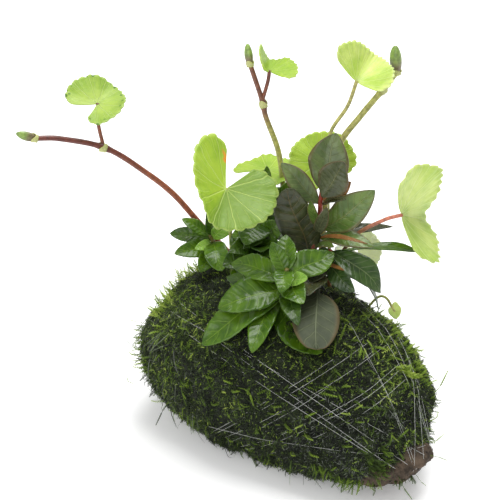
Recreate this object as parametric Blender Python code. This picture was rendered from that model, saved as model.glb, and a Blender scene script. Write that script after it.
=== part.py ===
"""Moss bonsai: a lava stone wrapped in moss, bound with thin line and planted with water plants.

Metres, +Z up. The origin is the middle of the flat spot that the stone rests on. -Y is the side
that the arrangement is displayed from, and +X is to the right seen from there.
"""
import math
import bmesh
import bpy
from mathutils import Matrix, Vector, bvhtree, noise
from mathutils.geometry import interpolate_bezier

MM = 0.001
UP = Vector((0, 0, 1))
GAP = 0.3 * MM

# the wrapped stone
HALF_LENGTH = 64 * MM
HALF_WIDTH = 37 * MM
HEIGHT = 65 * MM
TURN = math.radians(-38)
BELLY_HEIGHT = 25 * MM  # where the stone is widest
BOXINESS = 2.7  # 2 is an ellipsoid, more is squarer
RIGHT_END_DROP = 13 * MM  # how much lower than HEIGHT the top is at each end
LEFT_END_DROP = 11 * MM
RIGHT_END_NARROWING = 0.14
LEFT_END_NARROWING = 0.06
UNDERCUT = 0.10  # how far the sides draw in below the belly
LUMP = 3.0 * MM
FINE_LUMP = 1.2 * MM
MAT_THICKNESS = 4.5 * MM
MAT_FLOOR = 1.5 * MM  # the moss ends this high above what the stone rests on
TOE_SPOT = Vector((0.80, -0.30, -0.52)).normalized()  # from the middle, in the stone's own axes
TOE_REACH = 9 * MM  # how far the wrapped stone juts out there
BARE_SPOT = Vector((0.88, -0.22, -0.40)).normalized()
BARE_BULGE = 8 * MM
STONE_BELLY = 30.5 * MM  # how deep each reaches below the belly before it is cut flat
MOSS_BELLY = 30 * MM
ROCKER = 0.2  # how much the underside rises to the ends, as a share of the belly's height

# the line: where each turn crosses the top and then the underside, along the stone, in mm
LINE_RADIUS = 0.15 * MM
LINE_TURNS_OUT = ((-50, -54), (-46, -46), (-34, -38), (13, 38), (26, 45))
LINE_TURNS_BACK = ((34, 42), (16, -34), (-31, -42), (-37, -50))
LINE_POINTS_PER_TURN = 22
LINE_LIFT = 1.7 * MM
LINE_LIFT_UNDER = 0.8 * MM
LINE_LAYER = 0.5 * MM

# planting
ROOT_DEPTH = 3 * MM
POCKET_ROOM = 1.15  # a stem's pocket in the moss, as a share of the stem's radius
BLADE_THICKNESS = 0.6 * MM
MIDRIB_FOLD = 0.25  # how much a long blade's edges rise, as a share of its half width
RIM_WAVE = 0.07  # of a round blade's radius
LOBE_ROUNDING = 0.12  # the share of a round blade's rim, from its notch, that is rounded off

COLOURS = {
    "stone": ((0.10, 0.06, 0.05), 0.95),
    "moss": ((0.05, 0.09, 0.02), 0.95),
    "line": ((0.75, 0.77, 0.76), 0.25),
    "pennywort_stem": ((0.40, 0.17, 0.08), 0.45),
    "pennywort_leaf": ((0.36, 0.56, 0.08), 0.45),
    "ludwigia_stem": ((0.35, 0.05, 0.03), 0.45),
    "ludwigia_leaf": ((0.07, 0.09, 0.05), 0.30),
    "hygrophila_stem": ((0.16, 0.08, 0.04), 0.50),
    "hygrophila_leaf": ((0.08, 0.22, 0.04), 0.40),
}

# stems: where each is rooted in the moss, then the points that it passes through, in mm
STEMS = {
    "hygrophila_front": dict(root=(-3, -12), path=[(-1, -12, 71), (0, -12, 79)], radius=1.0),
    "hygrophila_left": dict(root=(-25, 33), path=[(-28, 33, 66), (-30, 33, 71)], radius=1.0),
    "hygrophila_back": dict(
        root=(-12, 15), path=[(-11, 17, 76), (-9, 20, 87), (-8, 22, 94)], radius=1.0
    ),
    "ludwigia_tall": dict(
        root=(9, 5), path=[(10, 6, 77), (12.5, 7, 85), (13, 8, 97), (13.5, 9, 102)], radius=1.1
    ),
    "ludwigia_low": dict(root=(11, 0), path=[(14, 0, 75), (17, 0, 81)], radius=1.0),
    "pennywort_runner_left": dict(
        root=(-22, 40),
        path=[(-33, 38, 72), (-44, 36, 87), (-54, 34, 97), (-70, 30, 110), (-88, 26, 116), (-97, 24, 117)],
        radius=1.3, bud=(-104, 22, 120), node=0.73,
    ),
    "pennywort_runner_middle": dict(
        root=(0, 24), path=[(-1, 28, 94), (-3, 30, 109), (-8, 32, 123), (-9, 33, 128), (-14, 36, 143)],
        radius=1.2, bud=(-15, 37, 151), node=0.8,
    ),
    "pennywort_runner_right": dict(
        root=(14, 19), path=[(16, 25, 95), (21, 30, 112), (29, 34, 122), (38, 38, 132), (43, 40, 138)],
        radius=1.4, bud=(42, 40, 149), node=0.9,
    ),
    "pennywort_runner_low": dict(
        root=(7, 18), path=[(12, 14, 69), (20, 10, 67.5), (28, 8, 64)], radius=1.0
    ),
}

# round pennywort leaves, in mm: the stalk's root or the stem that it grows from, the points that it
# passes through, the spot where it meets the blade, the way the blade faces and its notch opens, how
# much its two halves fold up and how far the notch opens to each side, in degrees
PENNYWORT_LEAVES = {
    "pennywort_leaf_left": dict(
        stem="pennywort_runner_left", at=0.73, stalk=[(-73, 32, 120)], centre=(-73, 30, 129),
        faces=(0.0, -0.5, 0.87), notch=(-0.7, -0.55, -0.3), radius=13, folds=(15, 20), openings=(30, 30),
    ),
    "pennywort_leaf_middle": dict(
        stem="pennywort_runner_middle", at=0.82, stalk=[(-7, 34, 137)], centre=(-6.5, 34, 141),
        faces=(0.0, -0.1, 1.0), notch=(0.0, -1.0, -0.3), radius=11, folds=(5, 70), openings=(40, 40),
    ),
    "pennywort_leaf_top": dict(
        root=(18, 28), stalk=[(17, 30, 115), (24, 33, 127)], centre=(27, 33, 137),
        faces=(0.1, -0.7, 0.7), notch=(-0.6, -0.5, -0.6), radius=16, folds=(40, 40), openings=(50, 50),
    ),
    "pennywort_leaf_right": dict(
        root=(17, 7), stalk=[(22, 8, 76), (27, 7, 84), (38, 6, 91)], centre=(44.5, 6, 93),
        faces=(0.84, -0.48, 0.25), notch=(-0.54, -0.75, 0.38), radius=23, folds=(30, 35), openings=(80, 42),
    ),
    "pennywort_leaf_front": dict(
        root=(-21, 21), stalk=[(-22, 19, 84), (-23, 8, 98)], centre=(-23, 0, 107),
        faces=(0.40, -0.55, 0.73), notch=(0.28, 0.45, 0.80), radius=20.5, folds=(30, 5), openings=(12, 24),
    ),
    "pennywort_leaf_back_left": dict(
        root=(-6, 28), stalk=[(-8, 34, 84)], centre=(-9, 37, 98),
        faces=(-0.1, 0.05, 1.0), notch=(0.9, -0.4, 0.0), radius=15, folds=(5, 0), openings=(35, 35),
    ),
    "pennywort_leaf_back_right": dict(
        root=(6, 28), stalk=[(9, 33, 90)], centre=(13.5, 34, 102),
        faces=(0.1, -0.75, 0.65), notch=(0.5, -0.5, -0.7), radius=14, folds=(10, 15), openings=(35, 35),
    ),
    "pennywort_leaf_pale": dict(
        root=(19, 13), stalk=[(26, 19, 72)], centre=(30, 22, 78),
        faces=(0.3, -0.9, 0.2), notch=(-0.5, 0.0, 0.9), radius=10, folds=(10, 10), openings=(25, 25),
    ),
    "pennywort_leaf_small": dict(
        root=(33, 6), stalk=[(38, 6, 57.5)], centre=(42.5, 5, 51.5),
        faces=(0.7, -0.5, 0.5), notch=(-0.3, 0.0, 1.0), radius=3.6, folds=(10, 10), openings=(25, 25),
    ),
}

# long leaves on each stem: how far up it they grow, then tip, width and arch in mm, and the way the
# blade faces
LEAVES = {
    "hygrophila_front": [
        dict(at=0.72, tip=(-21, -2, 76), width=10.5, arch=4, faces=(0.0, -0.6, 0.8)),
        dict(at=0.84, tip=(-11, -6, 85), width=6, arch=1, faces=(0.3, -0.9, 0.4)),
        dict(at=0.91, tip=(-1, 3, 88), width=6.5, arch=1, faces=(0.0, -0.9, 0.4)),
        dict(at=0.75, tip=(18, -5, 82), width=11, arch=3, faces=(0.0, -0.6, 0.8)),
        dict(at=0.94, tip=(-3, -25, 75), width=7, arch=4, faces=(0.0, -0.3, 0.95)),
        dict(at=0.57, tip=(3, -28, 71), width=7, arch=4, faces=(0.0, -0.3, 0.95)),
        dict(at=0.42, tip=(4, -33, 66), width=6, arch=6, faces=(0.0, -0.3, 0.95)),
        dict(at=0.40, tip=(-26, -20, 66), width=14, arch=4, faces=(-0.1, -0.5, 0.85)),
        dict(at=0.24, tip=(-32, -25, 53), width=12, arch=8, faces=(-0.2, -0.5, 0.85)),
        dict(at=0.10, tip=(-14, -36, 55), width=8, arch=4, faces=(0.0, -0.6, 0.8)),
        dict(at=0.10, tip=(8, -34, 58), width=8, arch=5, faces=(0.0, -0.6, 0.8)),
        dict(at=0.34, tip=(-23, 0, 69), width=9, arch=3, faces=(0.0, -0.4, 0.9)),
    ],
    "hygrophila_left": [
        dict(at=0.83, tip=(-46, 36, 70), width=5.5, arch=3, faces=(0.0, -0.6, 0.8)),
        dict(at=0.55, tip=(-44, 26, 66), width=6, arch=3, faces=(0.0, -0.6, 0.8)),
        dict(at=0.75, tip=(-25, 17, 63), width=8, arch=5, faces=(-0.2, -0.6, 0.8)),
        dict(at=0.97, tip=(-41, 33, 78), width=4.5, arch=2, faces=(0.0, -0.6, 0.8)),
        dict(at=0.85, tip=(-23, 30, 82), width=8, arch=1, faces=(0.0, -0.9, 0.4)),
    ],
    "hygrophila_back": [
        dict(at=0.40, tip=(-22, 14, 76.5), width=12, arch=2, faces=(0.0, -0.7, 0.7)),
        dict(at=0.14, tip=(-19, 4, 69), width=12, arch=3, faces=(0.0, -0.6, 0.8)),
        dict(at=0.62, tip=(-16, 6, 80), width=12, arch=4, faces=(0.0, -0.5, 0.85)),
        dict(at=0.60, tip=(1, 18, 80), width=13, arch=2, faces=(0.0, -0.7, 0.7)),
        dict(at=0.85, tip=(0, 21, 97), width=9, arch=2, faces=(0.0, -0.8, 0.5)),
        dict(at=0.80, tip=(-18, 25, 98), width=8, arch=1, faces=(0.0, -0.9, 0.4)),
        dict(at=0.26, tip=(-4, 3, 75), width=11, arch=1, faces=(0.0, -0.7, 0.7)),
    ],
    "ludwigia_tall": [
        dict(at=0.98, tip=(19, 18, 122), width=16, arch=-1, faces=(-0.2, -1.0, 0.3)),
        dict(at=0.94, tip=(22, -1, 118), width=12, arch=-2, faces=(-0.4, -0.9, 0.2)),
        dict(at=0.86, tip=(-2, 13, 111), width=12, arch=2, faces=(-0.3, -0.8, 0.5)),
        dict(at=0.26, tip=(-2, 7, 102), width=15, arch=-2, faces=(-0.1, -1.0, 0.2)),
        dict(at=0.60, tip=(35, 4, 99), width=15, arch=1, faces=(0.0, -0.9, 0.4)),
        dict(at=0.46, tip=(34, -4, 79), width=11, arch=6, faces=(0.0, -0.5, 0.85)),
        dict(at=0.60, tip=(9, 0, 102), width=4, arch=1, faces=(-0.3, -1.0, 0.0)),
        dict(at=0.44, tip=(42, 22, 80), width=5, arch=5, faces=(0.0, -0.3, 0.95)),
        dict(at=0.52, tip=(15, -4, 101), width=4.5, arch=1, faces=(-0.2, -1.0, 0.2)),
    ],
    "ludwigia_low": [
        dict(at=0.97, tip=(36, -6, 66), width=12, arch=7, faces=(0.3, -0.6, 0.7)),
        dict(at=0.70, tip=(26, -12, 69), width=7, arch=1, faces=(-0.3, -0.9, 0.3)),
        dict(at=0.67, tip=(36, 2, 54), width=4, arch=12, faces=(0.3, -0.3, 0.9)),
        dict(at=0.24, tip=(12, -38, 60), width=17, arch=4, faces=(0.0, -0.8, 0.6)),
        dict(at=0.88, tip=(52, 8, 76), width=5, arch=6, faces=(0.0, -0.3, 0.95)),
        dict(at=0.60, tip=(8, -15, 74), width=8, arch=2, faces=(0.0, -0.5, 0.85)),
    ],
}


def clear_scene():
    for thing in list(bpy.data.objects):
        bpy.data.objects.remove(thing, do_unlink=True)


def collection(name):
    found = bpy.data.collections.get(name)
    if found is None:
        found = bpy.data.collections.new(name)
        bpy.context.scene.collection.children.link(found)
    return found


def material(name):
    colour, roughness = COLOURS[name]
    made = bpy.data.materials.get(name)
    if made is None:
        made = bpy.data.materials.new(name)
        made.use_nodes = True
        shader = made.node_tree.nodes["Principled BSDF"]
        shader.inputs["Base Color"].default_value = (*colour, 1)
        shader.inputs["Roughness"].default_value = roughness
        shader.inputs["Metallic"].default_value = 0
    return made


def new_object(name, mesh, finish, group="moss_bonsai"):
    made = bpy.data.objects.new(name, mesh)
    collection(group).objects.link(made)
    if finish:
        mesh.materials.clear()
        mesh.materials.append(material(finish))
    return made


def mesh_from(name, form):
    bmesh.ops.recalc_face_normals(form, faces=form.faces)
    mesh = bpy.data.meshes.new(name)
    form.to_mesh(mesh)
    form.free()
    return mesh


def evaluated_mesh(source):
    graph = bpy.context.evaluated_depsgraph_get()
    return bpy.data.meshes.new_from_object(source.evaluated_get(graph))


def remove(source):
    bpy.data.objects.remove(source, do_unlink=True)


def boolean(target, other, operation):
    """Cuts or joins target with other, which is used up."""
    step = target.modifiers.new(operation, "BOOLEAN")
    step.operation = operation
    step.solver = "EXACT"
    step.object = other
    mesh = evaluated_mesh(target)
    target.modifiers.clear()
    target.data = mesh
    remove(other)


def smooth_step(low, high, value):
    share = min(1.0, max(0.0, (value - low) / (high - low)))
    return share * share * (3 - 2 * share)


def in_mm(point):
    return Vector(point) * MM


# stone and moss

def loaf_point(cube, inset_at, belly_to_floor):
    """A point of the cube from -1 to 1 carried to the wrapped stone's outside, moved in by inset_at."""
    along, across, up = cube
    norm = (abs(along) ** BOXINESS + abs(across) ** BOXINESS + abs(up) ** BOXINESS) ** (1 / BOXINESS)
    along, across, up = along / norm, across / norm, up / norm
    right_end = smooth_step(0.0, 1.0, along)
    left_end = smooth_step(-0.1, -1.0, along)
    back = smooth_step(-0.3, 0.6, across)
    undercut = 1 - UNDERCUT * smooth_step(0.0, -1.0, up) * (1 - 0.7 * right_end)
    width = 1 - RIGHT_END_NARROWING * right_end - LEFT_END_NARROWING * left_end
    x = along * HALF_LENGTH * undercut
    y = across * HALF_WIDTH * width * undercut
    if up > 0:
        crown = HEIGHT - BELLY_HEIGHT - RIGHT_END_DROP * right_end - LEFT_END_DROP * left_end * (1 - back)
        z = BELLY_HEIGHT + up * crown
    else:
        z = BELLY_HEIGHT + up * belly_to_floor * (1 - ROCKER * along ** 2)
    point = Vector((x, y, z))
    lump = noise.noise(point * 45) * LUMP + noise.noise(point * 110 + Vector((7, 3, 1))) * FINE_LUMP
    outward = Vector((along / HALF_LENGTH, across / HALF_WIDTH, up / HEIGHT)).normalized()
    direction = Vector((along, across, up))
    toe = TOE_REACH * smooth_step(0.70, 1.0, direction.normalized().dot(TOE_SPOT))
    sideways = Vector((outward.x, outward.y, 0)).normalized()
    return point + outward * (lump - inset_at(direction)) + sideways * toe


def loaf(name, cuts, inset_at, belly_to_floor, floor, finish):
    form = bmesh.new()
    bmesh.ops.create_cube(form, size=2)
    bmesh.ops.subdivide_edges(form, edges=form.edges, cuts=cuts, use_grid_fill=True)
    turn = Matrix.Rotation(TURN, 4, "Z")
    for vert in form.verts:
        vert.co = turn @ loaf_point(vert.co, inset_at, belly_to_floor)
    bmesh.ops.triangulate(form, faces=form.faces, quad_method="FIXED")
    everything = form.verts[:] + form.edges[:] + form.faces[:]
    bmesh.ops.bisect_plane(
        form, geom=everything, plane_co=(0, 0, floor), plane_no=(0, 0, -1), clear_outer=True
    )
    rim = [edge for edge in form.edges if edge.is_boundary]
    bmesh.ops.holes_fill(form, edges=rim)
    return new_object(name, mesh_from(name, form), finish)


def stone_inset(extra):
    """How far the stone lies inside the moss's outside: the mat's thickness, less at the bare spot."""
    def inset_at(direction):
        nearness = smooth_step(0.86, 0.98, direction.normalized().dot(BARE_SPOT))
        return MAT_THICKNESS + extra - BARE_BULGE * nearness
    return inset_at


def stone_and_moss():
    stone = loaf("lava_stone", 5, stone_inset(GAP), STONE_BELLY, 0, "stone")
    moss = loaf("moss_mat", 7, lambda direction: 0, MOSS_BELLY, MAT_FLOOR, "moss")
    hollow = loaf("hollow", 5, stone_inset(0), STONE_BELLY, -5 * MM, None)
    boolean(moss, hollow, "DIFFERENCE")
    return stone, moss


def surface_of(*sources):
    form = bmesh.new()
    for source in sources:
        form.from_mesh(source.data)
    tree = bvhtree.BVHTree.FromBMesh(form)
    form.free()
    return tree


def ground_height(ground, place):
    hit = ground.ray_cast(Vector((place[0] * MM, place[1] * MM, 2 * HEIGHT)), -UP)
    return hit[0].z


# stems and stalks

def smooth_path(points, steps):
    """Points along a smooth curve through the given ones, a few for each stretch."""
    padded = [points[0]] + list(points) + [points[-1]]
    slopes = [(after - before).normalized() for before, after in zip(padded, padded[2:])]
    path = []
    for start, end, slope, next_slope in zip(points, points[1:], slopes, slopes[1:]):
        reach = (end - start).length / 3
        handles = start + slope * reach, end - next_slope * reach
        path += interpolate_bezier(start, *handles, end, steps + 1)[:-1]
    return path + [points[-1]]


def tube(name, path, radii, finish, sides=1):
    curve = bpy.data.curves.new(name, "CURVE")
    curve.dimensions = "3D"
    curve.bevel_depth = 1
    curve.bevel_resolution = sides
    curve.use_fill_caps = True
    spline = curve.splines.new("POLY")
    spline.points.add(len(path) - 1)
    for point, place, radius in zip(spline.points, path, radii):
        point.co = (*place, 1)
        point.radius = radius
    source = new_object(name, curve, None)
    mesh = evaluated_mesh(source)
    remove(source)
    bpy.data.curves.remove(curve)
    form = bmesh.new()
    form.from_mesh(mesh)
    bmesh.ops.remove_doubles(form, verts=form.verts, dist=0.01 * MM)
    bpy.data.meshes.remove(mesh)
    return new_object(name, mesh_from(name, form), finish)


def rooted(ground, place, points):
    """The way of a stem that stands upright in the moss before it leans."""
    height = ground_height(ground, place)
    x, y = place[0] * MM, place[1] * MM
    upright = [Vector((x, y, height + above)) for above in (-ROOT_DEPTH, 0, 2 * MM)]
    return upright + points


def pocket(moss, ground, place, radius):
    height = ground_height(ground, place)
    low = height - ROOT_DEPTH - GAP
    high = height + 6 * MM
    room = radius * POCKET_ROOM + GAP
    middle = Matrix.Translation((place[0] * MM, place[1] * MM, (low + high) / 2))
    form = bmesh.new()
    bmesh.ops.create_cone(
        form, cap_ends=True, segments=6, radius1=room, radius2=room, depth=high - low, matrix=middle
    )
    boolean(moss, new_object("pocket", mesh_from("pocket", form), None), "DIFFERENCE")


def place_on(path, share):
    """The point and the direction of a stem at a share of its length above the moss."""
    lengths = [(end - start).length for start, end in zip(path, path[1:])]
    left = ROOT_DEPTH + share * (sum(lengths) - ROOT_DEPTH)
    for start, end, length in zip(path, path[1:], lengths):
        if left <= length:
            break
        left -= length
    return start.lerp(end, left / length), (end - start).normalized()


def bud_on(stem, start, tip, radius, finish):
    form = bmesh.new()
    bmesh.ops.create_uvsphere(form, u_segments=8, v_segments=6, radius=1)
    length = (tip - start).length
    turn = UP.rotation_difference(tip - start).to_matrix().to_4x4()
    for vert in form.verts:
        waist = 1 - 0.35 * smooth_step(0.2, 1.0, vert.co.z)
        x, y, z = vert.co
        vert.co = Vector((x * radius * waist, y * radius * waist, z * length * 0.55))
    bmesh.ops.transform(form, verts=form.verts, matrix=Matrix.Translation((start + tip) / 2) @ turn)
    boolean(stem, new_object("bud", mesh_from("bud", form), finish), "UNION")


def grow_stem(name, facts, moss, ground):
    points = rooted(ground, facts["root"], [in_mm(point) for point in facts["path"]])
    path = smooth_path(points, 2)
    radius = facts["radius"] * MM
    radii = [radius * (1.05 - 0.25 * index / len(path)) for index in range(len(path))]
    if "node" in facts:
        joint = place_on(path, facts["node"])[0]
        nearest = min(range(len(path)), key=lambda index: (path[index] - joint).length)
        radii[nearest] *= 1.4
    pocket(moss, ground, facts["root"], radii[0])
    plant = name.split("_")[0]
    node_name = name if plant == "pennywort" else name + "_stem"
    stem = tube(node_name, path, radii, plant + "_stem")
    if "bud" in facts:
        bud_on(stem, path[-1], in_mm(facts["bud"]), radius * 1.5, "pennywort_stem")
    return path, radius


# leaves

def leaf_width(share):
    """Half the blade's width at a share of its length: a short stalk, a broad middle, a pointed tip."""
    body = math.sin(math.pi * share ** 0.85) ** 0.8 if 0 < share < 1 else 0
    return max(0.5 * body, 0.07)


def long_leaf(name, base, tip, facts, finish):
    """A blade that starts at the stem, arches over to its tip and is folded a little on its midrib."""
    width = facts["width"] * MM
    facing = Vector(facts["faces"])
    chord = (tip - base).normalized()
    rise = (facing - chord * facing.dot(chord)).normalized()
    middle = (base + tip) / 2 + rise * facts["arch"] * MM
    form = bmesh.new()
    bmesh.ops.create_grid(form, x_segments=4, y_segments=2, size=1)
    for vert in form.verts:
        share, side = (vert.co.x + 1) / 2, vert.co.y
        spine = base * (1 - share) ** 2 + middle * 2 * share * (1 - share) + tip * share ** 2
        along = ((middle - base) * (1 - share) + (tip - middle) * share).normalized()
        across = along.cross(facing).normalized()
        reach = side * width * leaf_width(share)
        vert.co = spine + across * reach + across.cross(along) * abs(reach) * MIDRIB_FOLD
    bmesh.ops.recalc_face_normals(form, faces=form.faces)
    bmesh.ops.solidify(form, geom=form.faces[:], thickness=BLADE_THICKNESS)
    return new_object(name, mesh_from(name, form), finish)


def round_blade(name, facts, finish):
    """A round blade with a notch that reaches the stalk; its halves fold up and its rim is waved."""
    centre = in_mm(facts["centre"])
    facing = Vector(facts["faces"]).normalized()
    notch = Vector(facts["notch"])
    notch = (notch - facing * notch.dot(facing)).normalized()
    sideways = facing.cross(notch)
    radius = facts["radius"] * MM
    openings = [math.radians(opening) for opening in facts["openings"]]
    folds = [math.radians(fold) for fold in facts["folds"]]
    form = bmesh.new()
    bmesh.ops.create_grid(form, x_segments=2, y_segments=14, size=1)
    for vert in form.verts:
        reach = (vert.co.x + 1) / 2
        turned = (vert.co.y + 1) / 2
        angle = openings[0] + turned * (2 * math.pi - sum(openings))
        from_notch = min(turned, 1 - turned) / LOBE_ROUNDING
        rounding = 1 - 0.3 * max(0, 1 - from_notch) ** 2
        distance = radius * reach * rounding * (1 + 0.12 * math.cos(angle))
        side = distance * math.sin(angle)
        fold = folds[0] if side > 0 else folds[1]
        lift = abs(side) * math.sin(fold) + RIM_WAVE * radius * reach ** 2 * (1 + math.cos(3 * angle))
        vert.co = (
            centre + notch * distance * math.cos(angle) + sideways * side * math.cos(fold) + facing * lift
        )
    bmesh.ops.remove_doubles(form, verts=form.verts, dist=0.05 * MM)
    bmesh.ops.recalc_face_normals(form, faces=form.faces)
    bmesh.ops.solidify(form, geom=form.faces[:], thickness=BLADE_THICKNESS)
    return new_object(name, mesh_from(name, form), finish)


def round_leaf(name, facts, moss, ground, paths):
    radius = 0.8 * MM
    end = in_mm(facts["centre"]) - Vector(facts["notch"]).normalized() * radius
    stalk = [in_mm(point) for point in facts["stalk"]] + [end]
    if "root" in facts:
        points = rooted(ground, facts["root"], stalk)
        pocket(moss, ground, facts["root"], radius)
    else:
        points = [leaf_base(paths[facts["stem"]], facts["at"], stalk[0], radius)] + stalk
    path = smooth_path(points, 2)
    leaf = tube(name, path, [radius] * len(path), "pennywort_leaf", sides=0)
    boolean(leaf, round_blade(name + "_blade", facts, "pennywort_leaf"), "UNION")


def leaf_base(grown, share, tip, extra):
    """The spot just off a stem's side from which a leaf with this tip grows."""
    path, radius = grown
    spot, along = place_on(path, share)
    outward = tip - spot
    outward = (outward - along * outward.dot(along)).normalized()
    return spot + outward * (radius + GAP + extra)


# the line

def wind_line(ground):
    """The line goes along the stone in open turns, then back over them, clear of the flat spot."""
    turns = [(top, low, 0) for top, low in LINE_TURNS_OUT] + [(top, low, 1) for top, low in LINE_TURNS_BACK]
    stops = []
    for top, low, layer in turns:
        stops += [(top, layer), (low, layer)]
    half_turn = LINE_POINTS_PER_TURN // 2
    turn = Matrix.Rotation(TURN, 4, "Z")
    path = []
    for index, (start, end) in enumerate(zip(stops, stops[1:])):
        for step in range(half_turn):
            share = step / half_turn
            ease = smooth_step(0, 1, share)
            along = (start[0] + (end[0] - start[0]) * ease) * MM
            angle = math.pi * (index + share)
            outward = Vector((0, -math.sin(angle), math.cos(angle)))
            heart = Vector((along, 0, BELLY_HEIGHT))
            far = heart + outward * 2 * HEIGHT
            hit = ground.ray_cast(turn @ far, turn @ -outward)[0]
            layer = LINE_LAYER * (start[1] + (end[1] - start[1]) * share)
            point = hit + turn @ outward * (LINE_LIFT + layer)
            point.z = max(point.z, MAT_FLOOR - LINE_LIFT_UNDER - layer)
            path.append(point)
    tube("binding_line", path, [LINE_RADIUS] * len(path), "line", sides=0)


def main():
    clear_scene()
    stone, moss = stone_and_moss()
    ground = surface_of(stone, moss)
    paths = {name: grow_stem(name, facts, moss, ground) for name, facts in STEMS.items()}
    for stem, leaves in LEAVES.items():
        finish = stem.split("_")[0] + "_leaf"
        for number, facts in enumerate(leaves, start=1):
            tip = in_mm(facts["tip"])
            base = leaf_base(paths[stem], facts["at"], tip, BLADE_THICKNESS)
            long_leaf(f"{stem}_leaf_{number}", base, tip, facts, finish)
    for name, facts in PENNYWORT_LEAVES.items():
        round_leaf(name, facts, moss, ground, paths)
    wind_line(ground)


main()
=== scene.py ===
# The moss bonsai, dressed over its solids: moss, stone, line, pennywort, ludwigia and hygrophila.
# Metres, +Z up, -Y is the side it is displayed from. Places in the tables are in millimetres.
import math
import random

import bpy
import numpy as np
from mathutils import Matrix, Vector, bvhtree, noise
from mathutils.geometry import interpolate_bezier


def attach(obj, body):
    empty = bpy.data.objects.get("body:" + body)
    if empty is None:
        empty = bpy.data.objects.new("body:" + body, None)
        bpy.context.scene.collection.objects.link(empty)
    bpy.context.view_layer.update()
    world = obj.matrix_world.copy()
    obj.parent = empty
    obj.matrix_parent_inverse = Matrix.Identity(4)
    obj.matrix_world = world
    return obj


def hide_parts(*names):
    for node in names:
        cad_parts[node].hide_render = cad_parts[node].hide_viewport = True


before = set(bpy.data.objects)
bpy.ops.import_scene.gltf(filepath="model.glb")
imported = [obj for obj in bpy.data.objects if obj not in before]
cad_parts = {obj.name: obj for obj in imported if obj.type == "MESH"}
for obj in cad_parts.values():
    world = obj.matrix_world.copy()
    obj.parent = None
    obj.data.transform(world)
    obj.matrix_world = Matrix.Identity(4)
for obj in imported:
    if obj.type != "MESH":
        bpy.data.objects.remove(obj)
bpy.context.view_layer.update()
print("frame loaded:", len(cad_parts), "solids")

up = Vector((0, 0, 1))
rightward = Vector((1, 0, 0))
rootDepth = 0.003  # how deep stems stand in the moss
veinSweep = 0.34  # how far a long leaf's side veins reach forward


# small helpers

def inMm(point):
    return Vector(point) * 0.001


def smoothStep(low, high, value):
    share = min(1.0, max(0.0, (value - low) / (high - low)))
    return share * share * (3 - 2 * share)


def pickOnly(thing):
    if bpy.context.mode != "OBJECT":
        bpy.ops.object.mode_set(mode="OBJECT")
    bpy.ops.object.select_all(action="DESELECT")
    thing.select_set(True)
    bpy.context.view_layer.objects.active = thing


def editAll(thing):
    # goes into edit mode with the whole mesh selected
    pickOnly(thing)
    bpy.ops.object.mode_set(mode="EDIT")
    bpy.ops.mesh.select_all(action="SELECT")


def leaveEdit():
    bpy.ops.object.mode_set(mode="OBJECT")


def selectPoints(thing, wanted):
    # goes into edit mode with the vertices at the wanted places selected
    editAll(thing)
    bpy.ops.mesh.select_mode(type="VERT")
    bpy.ops.mesh.select_all(action="DESELECT")
    leaveEdit()
    for vert in thing.data.vertices:
        vert.select = wanted(vert.co)
    bpy.ops.object.mode_set(mode="EDIT")


def settlePlace(thing):
    # the mesh takes up the object's own place, turn and size
    pickOnly(thing)
    bpy.ops.object.transform_apply(location=True, rotation=True, scale=True)


def applyModifier(thing, kind, **settings):
    pickOnly(thing)
    step = thing.modifiers.new(kind, kind)
    for key, value in settings.items():
        setattr(step, key, value)
    bpy.ops.object.modifier_apply(modifier=step.name)


def copyOf(thing):
    made = thing.copy()
    made.data = thing.data.copy()
    bpy.context.scene.collection.objects.link(made)
    return made


def remeshedSolid(nodeName):
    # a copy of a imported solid, merged and remeshed finely
    solid = copyOf(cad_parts[nodeName])
    solid.parent = None
    editAll(solid)
    bpy.ops.mesh.remove_doubles(threshold=0.00002)
    leaveEdit()
    applyModifier(solid, "REMESH", mode="VOXEL", voxel_size=0.0011)
    return solid


def roughness(place, lumps):
    return sum(noise.noise(place * scale) * depth for scale, depth in lumps)


def sidesOf(axis):
    # two ways square to an axis and to each other
    side = axis.orthogonal().normalized()
    return side, axis.cross(side)


def throwAway(thing):
    bpy.data.objects.remove(thing, do_unlink=True)


def newFinish(name, roughness, colour=None, **sockets):
    finish = bpy.data.materials.new(name)
    finish.use_nodes = True
    shader = finish.node_tree.nodes["Principled BSDF"]
    shader.inputs["Roughness"].default_value = roughness
    if colour:
        shader.inputs["Base Color"].default_value = (*colour, 1)
    for key, value in sockets.items():
        shader.inputs[key.replace("_", " ")].default_value = value
    # light that passes a leaf turns green
    shader.inputs["Subsurface Radius"].default_value = (0.85, 1.0, 0.28)
    return finish


def finishPiece(piece, name, finishes, nodes=()):
    piece.name = name
    piece.data.name = name
    piece.data.materials.clear()
    for finish in finishes:
        piece.data.materials.append(finish)
    pickOnly(piece)
    bpy.ops.object.shade_smooth()
    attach(piece, "root")
    if nodes:
        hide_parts(*nodes)
    return piece


# camera, floor and light

studio = dict(
    aim=(-14, 32.7, 64.2), distance=0.9, elevation=27, lens=162,
    middle=(250, 250), dot=0.0004,  # the picture's middle, and the size of one of its dots at the stone
    floorColour=(0.95, 0.95, 0.95), floorGlow=0.16, skyStrength=0.56,
    keyPlace=(0.12, 0.24, 1.00), keySize=0.7, keyPower=11.5,
    fillPlace=(-0.5, -0.8, 0.5), fillSize=0.8, fillPower=5.0,
)
lift = math.radians(studio["elevation"])
lookAt = inMm(studio["aim"])
cameraPlace = lookAt + studio["distance"] * Vector((0, -math.cos(lift), math.sin(lift)))
pictureUp = Vector((0, math.sin(lift), math.cos(lift)))


def sightLine(x, y):
    # the way from the camera through a dot of the 500 by 500 picture
    aside, above = x - studio["middle"][0], studio["middle"][1] - y
    offset = (rightward * aside + pictureUp * above) * studio["dot"]
    return (lookAt + offset - cameraPlace).normalized()


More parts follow.
